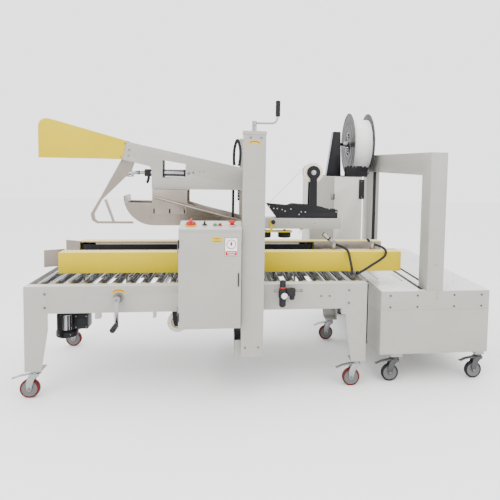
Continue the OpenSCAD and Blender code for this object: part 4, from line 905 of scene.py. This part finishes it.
def makeLeads(spec):
    y, top = spec["y"], spec["top"]
    p = Piece("sensor_set", "near_unit", "black_plastic", blackPlastic, brightSteel, screwSteel,
              orangePlastic)
    for key, steps in (("first", 14), ("second", 14)):
        p.tube(smoothPath(spec[key], steps), spec["radius"] - 0.2, 14, 0, 1.1)
        end = Vector(spec[key][-1])
        p.lathe(end + Vector((1, 8, 3)), Vector(spec[key][-1]) - Vector(spec[key][-2]),
                [(-6, 9.5), (4, 10.5), (6, 10.5), (6, 9)], 8, 0)
    for x in (1660, 1896):
        p.box((x - 8.5, x + 8.5), (y - 9.5, y + 5), (top - 20, top + 13.5), 1)
        p.box((x - 16, x + 18), (y - 7, y - 4), (top - 18, top + 24), 2)
        p.rod((x, y - 4, top + 13), (x, y - 4, top + 29.5), 3.8, 14, 1)
        p.screw((x, y - 9.5, top + 7), (0, -1, 0), 3.6, 2)
        p.lathe((x + 12, y - 2, top + 8), (1, -0.6, 0), [(-8, 7), (-2, 7), (-2, 9), (8, 9), (8, 7)],
                6, 0)
    a, b = Vector((1650, y - 4, top + 26)), Vector((1592, y - 4, top + 74))
    p.lathe(a, b - a, [(0, 9), (2, 11.5), (20, 11.5), (22, 14.5), (60, 14.8), (62, 13.5),
                       (66, 13.5), (68, 14.8), (73, 14.8), (74, 13)], 32, 1)
    p.lathe(a + (b - a).normalized() * 24, b - a, [(0, 14.9), (10, 14.9)], 32, 0)
    p.lathe(b, b - a, [(-1, 11), (0.3, 10), (0.3, 3)], 32, 0)
    c, d = Vector((1880, y - 4, top + 26)), Vector((1862, y - 4, top + 42))
    p.lathe(c, d - c, [(0, 6), (4, 7.8), (22, 7.8), (24, 6)], 20, 0)
    p.box((1641, 1667), (y - 7.5, y - 0.5), (top + 12, top + 33), 2)
    p.box((1875, 1899), (y - 7.5, y - 0.5), (top + 12, top + 29), 2)
    p.done(0.4, ("sensor_leads",))


makeLeads(leads)

hoses = {"radius": 8.5, "bar": (1058, 8), "reach": 131,
         "loop": ((1092, 400, 147), (1098, 398, 195), (1096, 402, 255), (1080, 412, 300),
                  (1064, 424, 255), (1060, 430, 195), (1062, 436, 151))}


def makeHose(spec):
    low, high = nodeBox("hose_loop")
    beamZ = nodeBox("head_beam")[0][2]
    p = Piece("head_hose", "head", "black_plastic", blackRubber, blackPlastic, brightSteel)
    route = smoothPath([(a, b, c + beamZ) for a, b, c in spec["loop"]], 8)
    p.tube(route, spec["radius"] - 0.2, 16, 0)
    x, r = spec["bar"]
    p.rod((x, midY, low[2] + 0.2), (x, midY, beamZ - 1), r - 0.2, 24, 1)
    for q in (route[0], route[-1]):
        p.lathe(Vector(q) - Vector((0, 0, 3)), (0, 0, 1), [(0, 10), (5, 10), (10, 8)], 20, 1)
    p.box((1083, 1095), (midY - 52, midY - 46), (beamZ - 63, beamZ + 4), 1)
    for dz in (-12, -46):
        p.screw((1089, midY - 52, beamZ + dz), (0, -1, 0), 4.5, 2)
    p.rod((1086, midY - 56, beamZ - 28), (1100, midY - 56, beamZ - 28), 3.5, 12, 2)
    p.done(0, ("hose_loop",))


makeHose(hoses)

press = {"radius": 40}


def makePress(spec):
    for node, body, joint in (("press_roller_front", "front_press", "front_press_spin"),
                              ("press_roller_rear", "rear_press", "rear_press_spin")):
        x, y, z = jointPlace(joint)[0]
        low, high = nodeBox(node)
        r, h = spec["radius"], high[2] - low[2]
        p = Piece(node + "_set", body, "belt_rubber", blackRubber, screwSteel)
        p.lathe((x, y, low[2]), (0, 0, 1), [(0, 12), (0, r - 4), (1.5, r - 1), (4, r), (h - 4, r),
                                            (h - 1.5, r - 1), (h, r - 4), (h, 12), (h - 3, 11),
                                            (h - 3, 5.2)], 56, 0)
        p.lathe((x, y, low[2] + 0.2), (0, 0, 1), [(0, 8), (2, 9.5), (4, 9.5)], 20, 1)
        p.done(0, (node,))
    dress("press_frame", (yellowPaint,), 0.8)
    low, high = nodeBox("press_frame")
    p = Piece("press_knob", "head", "black_plastic", blackPlastic, screwSteel)
    p.lathe((1300, low[1] - 1, high[2] - 12), (0, -1, 0), [(-1, 9), (3, 13), (14, 13), (16, 10)],
            24, 0)
    for x in (1253, 1377):
        p.lathe((x, midY, 834), (0, 0, 1), [(0, 8), (6, 8), (7, 6)], 6, 1)
    p.done(0.4)


makePress(press)
print("tape, motor, hoses and sensors made")

# strap reel and its stand

reel = {"flange": 3, "rim": 243.8, "hub": 100, "coil": 196, "side": 4}


def ringProfile(h, r, thick, n=12):
    return [(h + thick * math.cos(math.tau * i / n), r + thick * math.sin(math.tau * i / n))
            for i in range(n)] + [(h + thick, r)]


def makeReel(spec):
    x, y, z = jointPlace("reel_spin")[0]
    low, high = nodeBox("strap_reel")
    t, rim = spec["flange"], spec["rim"]
    p = Piece("strap_reel_set", "reel", "black_plastic", blackPaint, brightSteel, blackPlastic)
    for face, way in ((low[0], 1), (high[0], -1)):
        outer = [(0.8, 92), (0.8, 120), (0, 124), (0, 134), (0.8, 138), (0.8, 176), (0, 180),
                 (0, 190), (0.8, 194), (0.8, rim - 8), (0, rim - 6), (0, rim - 1), (1, rim)]
        inner = [(t, rim), (t, 92)]
        p.lathe((face, y, z), (way, 0, 0), outer + inner + [outer[0]], 96, 0)
        for r, thick in ((90, 3.0), (66, 2.4), (46, 2.4)):
            p.lathe((face, y, z), (way, 0, 0), ringProfile(3.4, r, thick), 64, 1)
        for k in range(6):
            a = math.tau * k / 6 + 0.2
            c, s = math.cos(a), math.sin(a)
            p.rod((face + way * 3.2, y + 26 * c, z + 26 * s),
                  (face + way * 3.2, y + 96 * c, z + 96 * s), 3, 12, 1)
        p.lathe((face, y, z), (way, 0, 0), [(0, 12.3), (0, 26), (1, 28), (10, 28), (10, 12.3),
                                            (0, 12.3)], 40, 1)
    width = high[0] - low[0]
    p.lathe((low[0] + t, y, z), (1, 0, 0), [(0, spec["hub"] - 4), (0, spec["hub"]),
                                            (width - 2 * t, spec["hub"]),
                                            (width - 2 * t, spec["hub"] - 4),
                                            (0, spec["hub"] - 4)], 64, 2)
    p.lathe((low[0] + 9, y, z), (1, 0, 0), [(0, 22), (width - 18, 22)], 32, 1)
    p.done(0, ("strap_reel",))
    c = Piece("strap_coil_set", "reel", "strap_plastic", strapWhite)
    start, end = low[0] + spec["side"], high[0] - spec["side"]
    turns = 12
    pitch = (end - start) / turns
    outer = []
    for i in range(turns):
        sag = 1.0 if i % 3 == 1 else 0.4
        outer += [(i * pitch + 0.4, spec["coil"] - sag),
                  (i * pitch + 1.2, spec["coil"] - sag + 0.4),
                  ((i + 1) * pitch - 1.2, spec["coil"] - sag + 0.4),
                  ((i + 1) * pitch - 0.4, spec["coil"] - sag)]
    hub = spec["hub"] + 0.5
    c.lathe((start, y, z), (1, 0, 0), [(0, hub)] + outer + [(end - start, hub), (0, hub)], 96, 0)
    c.done(0, ("strap_coil",))


makeReel(reel)

cabTop = nodeBox("strap_cabinet")[1][2]
foldY = nodeBox("strap_cabinet")[0][1] + 104.5
# the stand's left slanted flange is painted grey-blue: a painted reflection on the black paint
dress("reel_stand", (blackPaint, reflectionSlate, orangePlastic, whitePlastic, redPlastic), 1.0,
      lambda x, y, z: 1 if y > foldY and x < 1816 and z > cabTop + 4 else 0)


def makeReelDetails():
    x, y, z = jointPlace("reel_spin")[0]
    p = Piece("reel_shaft_set", "machine", "bright_steel", brightSteel, screwSteel, orangePlastic,
              redPlastic, whitePlastic, blackPlastic)
    left = nodeBox("strap_reel")[0][0]
    p.lathe((left - 3, y, z), (-1, 0, 0), [(0, 12.2), (0, 21), (8, 21), (9, 19), (26, 19), (27, 15),
                                           (34, 15), (34, 12.2), (0, 12.2)], 40, 0)
    for h in (6, 14, 22):
        p.lathe((left - 3 - h, y, z), (-1, 0, 0), ringProfile(0, 22, 2), 40, 0)
    sy = nodeBox("reel_stand")[0][1]
    for dx, m, wide in ((14, 2, 14), (36, 4, 12), (62, 5, 14), (84, 5, 14), (108, 5, 22),
                        (150, 3, 10)):
        px = 1893 + dx
        p.box((px, px + wide), (sy + 12, sy + 26), (cabTop + 71.6, cabTop + 80.5), m)
    p.done(0.8)


makeReelDetails()
print("reel made")

# strapping table and cabinet details

tableLow, tableHigh = nodeBox("strapper_base")
archLow, archHigh = nodeBox("strapper_arch")
tableTop = archLow[2]
tableMarks = {"boltX": (53, 212, 432, 597), "boltDrop": (25, 91), "lift": 0.3,
              "marks": ((1958, 347), (2096, 286))}


def makeTableDetails(spec):
    p = Piece("table_details", "machine", "grey_paint", boltBrown, labelBlack, labelRed,
              brassEnd, stainless)
    front = tableLow[1]
    for dz in spec["boltDrop"]:
        for dx in spec["boltX"]:
            p.screw((tableLow[0] + dx, front, tableTop - dz), (0, -1, 0), 6, 0)
            p.screw((tableLow[0] + dx, tableHigh[1], tableTop - dz), (0, 1, 0), 6, 0)
    for dz in (13, 41):
        p.lathe((tableLow[0] + 327, front, tableTop - dz), (0, -1, 0), [(0, 7), (1.5, 8), (3, 6),
                                                                        (3, 2)], 6, 3)
    mid = (archLow[0] + archHigh[0]) / 2
    for dx in (-8, 8):
        p.screw((mid + dx, archLow[1], tableTop + 150), (0, -1, 0), 3.5, 3)
        p.screw((mid + dx, archHigh[1], tableTop + 150), (0, 1, 0), 3.5, 3)
    top = tableTop + spec["lift"]
    p.box((archLow[0] - 26, archLow[0] - 2), (front + 40, tableHigh[1] - 140),
          (tableTop - 0.2, top), 1)
    for x, y in spec["marks"]:
        p.box((x - 2.5, x + 2.5), (y, y + 210), (tableTop - 0.2, top), 1)
        p.box((x - 6, x + 6), (y - 16, y + 2), (tableTop - 0.2, top + 0.3), 2)
    for dx, y in ((60, 700), (520, 240), (520, 900), (60, 1250), (600, 420)):
        p.screw((tableLow[0] + dx, y, tableTop - 1), (0, 0, 1), 4.5, 0)
    p.done(0.3)


makeTableDetails(tableMarks)

track = {"wide": 11}


def makeTrack(spec):
    mid = (archLow[0] + archHigh[0]) / 2 + 9.5
    p = Piece("arch_track", "machine", "black_plastic", blackPlastic)
    for y0, y1 in ((archLow[1] + 100, archLow[1] + 128), (archHigh[1] - 128, archHigh[1] - 100)):
        p.box((mid - spec["wide"], mid + spec["wide"]), (y0, y1),
              (tableTop + 2, archHigh[2] - 134), 0)
    p.box((mid - spec["wide"], mid + spec["wide"]), (archLow[1] + 128, archHigh[1] - 128),
          (archHigh[2] - 128, archHigh[2] - 104), 0)
    p.done(0.5)


makeTrack(track)


def makeCabinetDetails():
    low, high = nodeBox("cabinet_door")
    p = Piece("cabinet_hinges", "machine", "bright_steel", stainless, screwSteel)
    y = high[1] - 2
    for z in (low[2] + 90, high[2] - 168):
        p.box((low[0] - 20, low[0] - 0.6), (y - 0.6, y + 2.4), (z, z + 44), 0)
        for dz in (10, 34):
            p.screw((low[0] - 12, y - 0.6, z + dz), (0, -1, 0), 3.2, 1)
    p.done(0.3)
    q = Piece("cabinet_door_screws", "store_door", "bright_steel", screwSteel)
    hx = high[0] - 20
    for dz in (32, 150):
        q.screw((hx, low[1], high[2] - dz + 2), (0, -1, 0), 4, 0)
    q.done()


makeCabinetDetails()

# fasteners on the bed, masts and head

channelTop = 915
headStuds = ((1276, 72), (1304, 58), (1326, 57), (1356, 51), (1374, 42), (1410, 55), (1474, 38),
             (1500, 37), (1462, 22), (1694, 40), (1650, 60))
boltPlaces = {"leg": (103, (557, 486)), "rail": ((1540, 1588), 526),
              "mastTop": ((1141, 1196), 1378), "mastLow": ((1125, 1195), 269)}


def makeBolts(spec):
    p = Piece("bed_bolts", "machine", "grey_paint", screwSteel, blackRubber)
    for y, way in ((0, -1), (bedW, 1)):
        for x in (spec["leg"][0], bedL - spec["leg"][0]):
            for z in spec["leg"][1]:
                p.screw((x, y, z), (0, way, 0), 7, 0)
        for x in spec["rail"][0]:
            p.screw((x, y, spec["rail"][1]), (0, way, 0), 6, 0)
    mastLow, mastHigh = nodeBox("mast_columns")
    for y, way in ((mastLow[1] + 3, -1), (mastHigh[1] - 3, 1)):
        for x in spec["mastTop"][0]:
            p.screw((x, y, spec["mastTop"][1]), (0, way, 0), 6, 0)
        for x in spec["mastLow"][0]:
            p.screw((x, y, spec["mastLow"][1]), (0, way, 0), 6, 0)
    # a black strip on the bed's right end: painted shadow standing in for the dark gap between the bed and the
    # strapping table
    p.box((bedL + 0.2, bedL + 7), (3, 8), (250, bedH - 6), 1)
    p.lathe((468, 0, 535), (0, -1, 0), [(0, 26), (3, 26), (4, 24)], 36, 0)
    for k in range(3):
        a = math.tau * k / 3 + math.pi / 2
        p.screw((468 + 21 * math.cos(a), -4, 535 + 21 * math.sin(a)), (0, -1, 0), 3.6, 0)
    p.done()
    beamLow, beamHigh = nodeBox("head_beam")
    q = Piece("head_bolts", "head", "grey_paint", screwSteel, labelBlack, brightSteel)
    for y, way in ((beamLow[1], -1), (beamHigh[1], 1)):
        for x, z, r in ((455, 226, 6), (821, 100, 6)):
            q.screw((x, y, beamLow[2] + z), (0, way, 0), r, 0)
        for x in (860, 885):
            q.lathe((x, y, beamLow[2] + 104), (0, way, 0), [(0, 3), (0.3, 3)], 14, 1)
        for x, z in ((432, 262), (409, 184)):
            q.screw((x, y + way * 2.5, beamLow[2] + z), (0, way, 0), 4.5, 0)
    channelY = midY - 50
    for x, z in ((1398, 886), (1300, 880), (1560, 884)):
        q.screw((x, channelY, z), (0, -1, 0), 3.5, 0)
    x, y, z = jointPlace("upper_roll_spin")[0]
    plate = nodeBox("upper_tape_head")[0][1]
    q.lathe((x, plate + 6, z), (0, -1, 0),
            [(0, 15), (1, 15), (1, 12), (5, 12), (6, 10), (6.4, 0.5)], 24, 2)
    for px, pz in headStuds:
        q.screw((px, midY - 40, channelTop + pz), (0, -1, 0), 5, 2)
    q.done(0.3)


makeBolts(boltPlaces)

flag = {"place": (1476, 846), "size": 17}


def makeFlag(spec):
    x, z = spec["place"]
    y = midY - 30
    p = Piece("tape_tag", "head", "red_plastic", redPlastic, brassEnd)
    p.plate([(x - spec["size"], z + 6), (x + spec["size"], z + 3), (x + 2, z - 8)], "y",
            (y, y + 0.8), 0)
    p.tube([(x + 2, y, z + 10), (x + 1, y, z - 4), (x - 8, y, z - 20), (x - 13, y, z - 30)], 1.4, 8,
           1)
    p.done()


makeFlag(flag)
print("details made")

# camera, floor and light

# the same viewpoint as a person standing at the bed's middle, a little to the control side
eye = {"place": (1032, -2725, 1248), "yaw": 7.70, "pitch": 3.95, "roll": 1.14, "lens": 36.86,
       "shift": (-0.0958, -0.1016)}


def makeCamera(spec):
    yaw, pitch, roll = (math.radians(spec[k]) for k in ("yaw", "pitch", "roll"))
    forward = Vector((math.sin(yaw) * math.cos(pitch), math.cos(yaw) * math.cos(pitch),
                      -math.sin(pitch)))
    level = Vector((math.cos(yaw), -math.sin(yaw), 0))
    raised = level.cross(forward)
    right = level * math.cos(roll) + raised * math.sin(roll)
    up = raised * math.cos(roll) - level * math.sin(roll)
    data = bpy.data.cameras.new("camera")
    cam = bpy.data.objects.new("camera", data)
    bpy.context.scene.collection.objects.link(cam)
    data.lens = spec["lens"]
    data.sensor_width = 36
    data.shift_x, data.shift_y = spec["shift"]
    data.clip_end = 60
    turn = Matrix((right, up, -forward)).transposed()
    cam.matrix_world = Matrix.Translation(at(*spec["place"])) @ turn.to_4x4()
    bpy.context.scene.camera = cam


makeCamera(eye)


def makeFloor():
    mesh = bpy.data.meshes.new("floor")
    half = 14
    mesh.from_pydata([(-half, -half, floorZ), (half, -half, floorZ), (half, half, floorZ),
                      (-half, half, floorZ)], [], [(0, 1, 2, 3)])
    floor = bpy.data.objects.new("floor", mesh)
    bpy.context.scene.collection.objects.link(floor)
    mat = bpy.data.materials.new("paleFloor")
    mat.use_nodes = True
    bsdf = mat.node_tree.nodes["Principled BSDF"]
    bsdf.inputs["Base Color"].default_value = (0.93, 0.93, 0.93, 1)
    bsdf.inputs["Roughness"].default_value = 0.9
    mesh.materials.append(mat)


makeFloor()

lamps = {"world": 2.5,
         "key": ((-900, -2600, 3300), (1100, 400, 500), 2.6, 80),
         "fill": ((3300, -2700, 2300), (1500, 500, 700), 2.4, 32),
         "top": ((1300, 500, 3900), (1300, 450, 0), 3.0, 60)}


def makeLights(spec):
    for name in ("key", "fill", "top"):
        place, aim, size, watts = spec[name]
        data = bpy.data.lights.new(name, "AREA")
        data.shape = "SQUARE"
        data.size = size
        data.energy = watts
        lamp = bpy.data.objects.new(name, data)
        bpy.context.scene.collection.objects.link(lamp)
        lamp.location = at(*place)
        lamp.rotation_mode = "QUATERNION"
        lamp.rotation_quaternion = (at(*aim) - at(*place)).to_track_quat("-Z", "Y")
    world = bpy.data.worlds.new("studio")
    bpy.context.scene.world = world
    world.use_nodes = True
    back = world.node_tree.nodes["Background"]
    back.inputs["Color"].default_value = (1, 1, 1, 1)
    back.inputs["Strength"].default_value = spec["world"]


makeLights(lamps)
print("camera and light made")
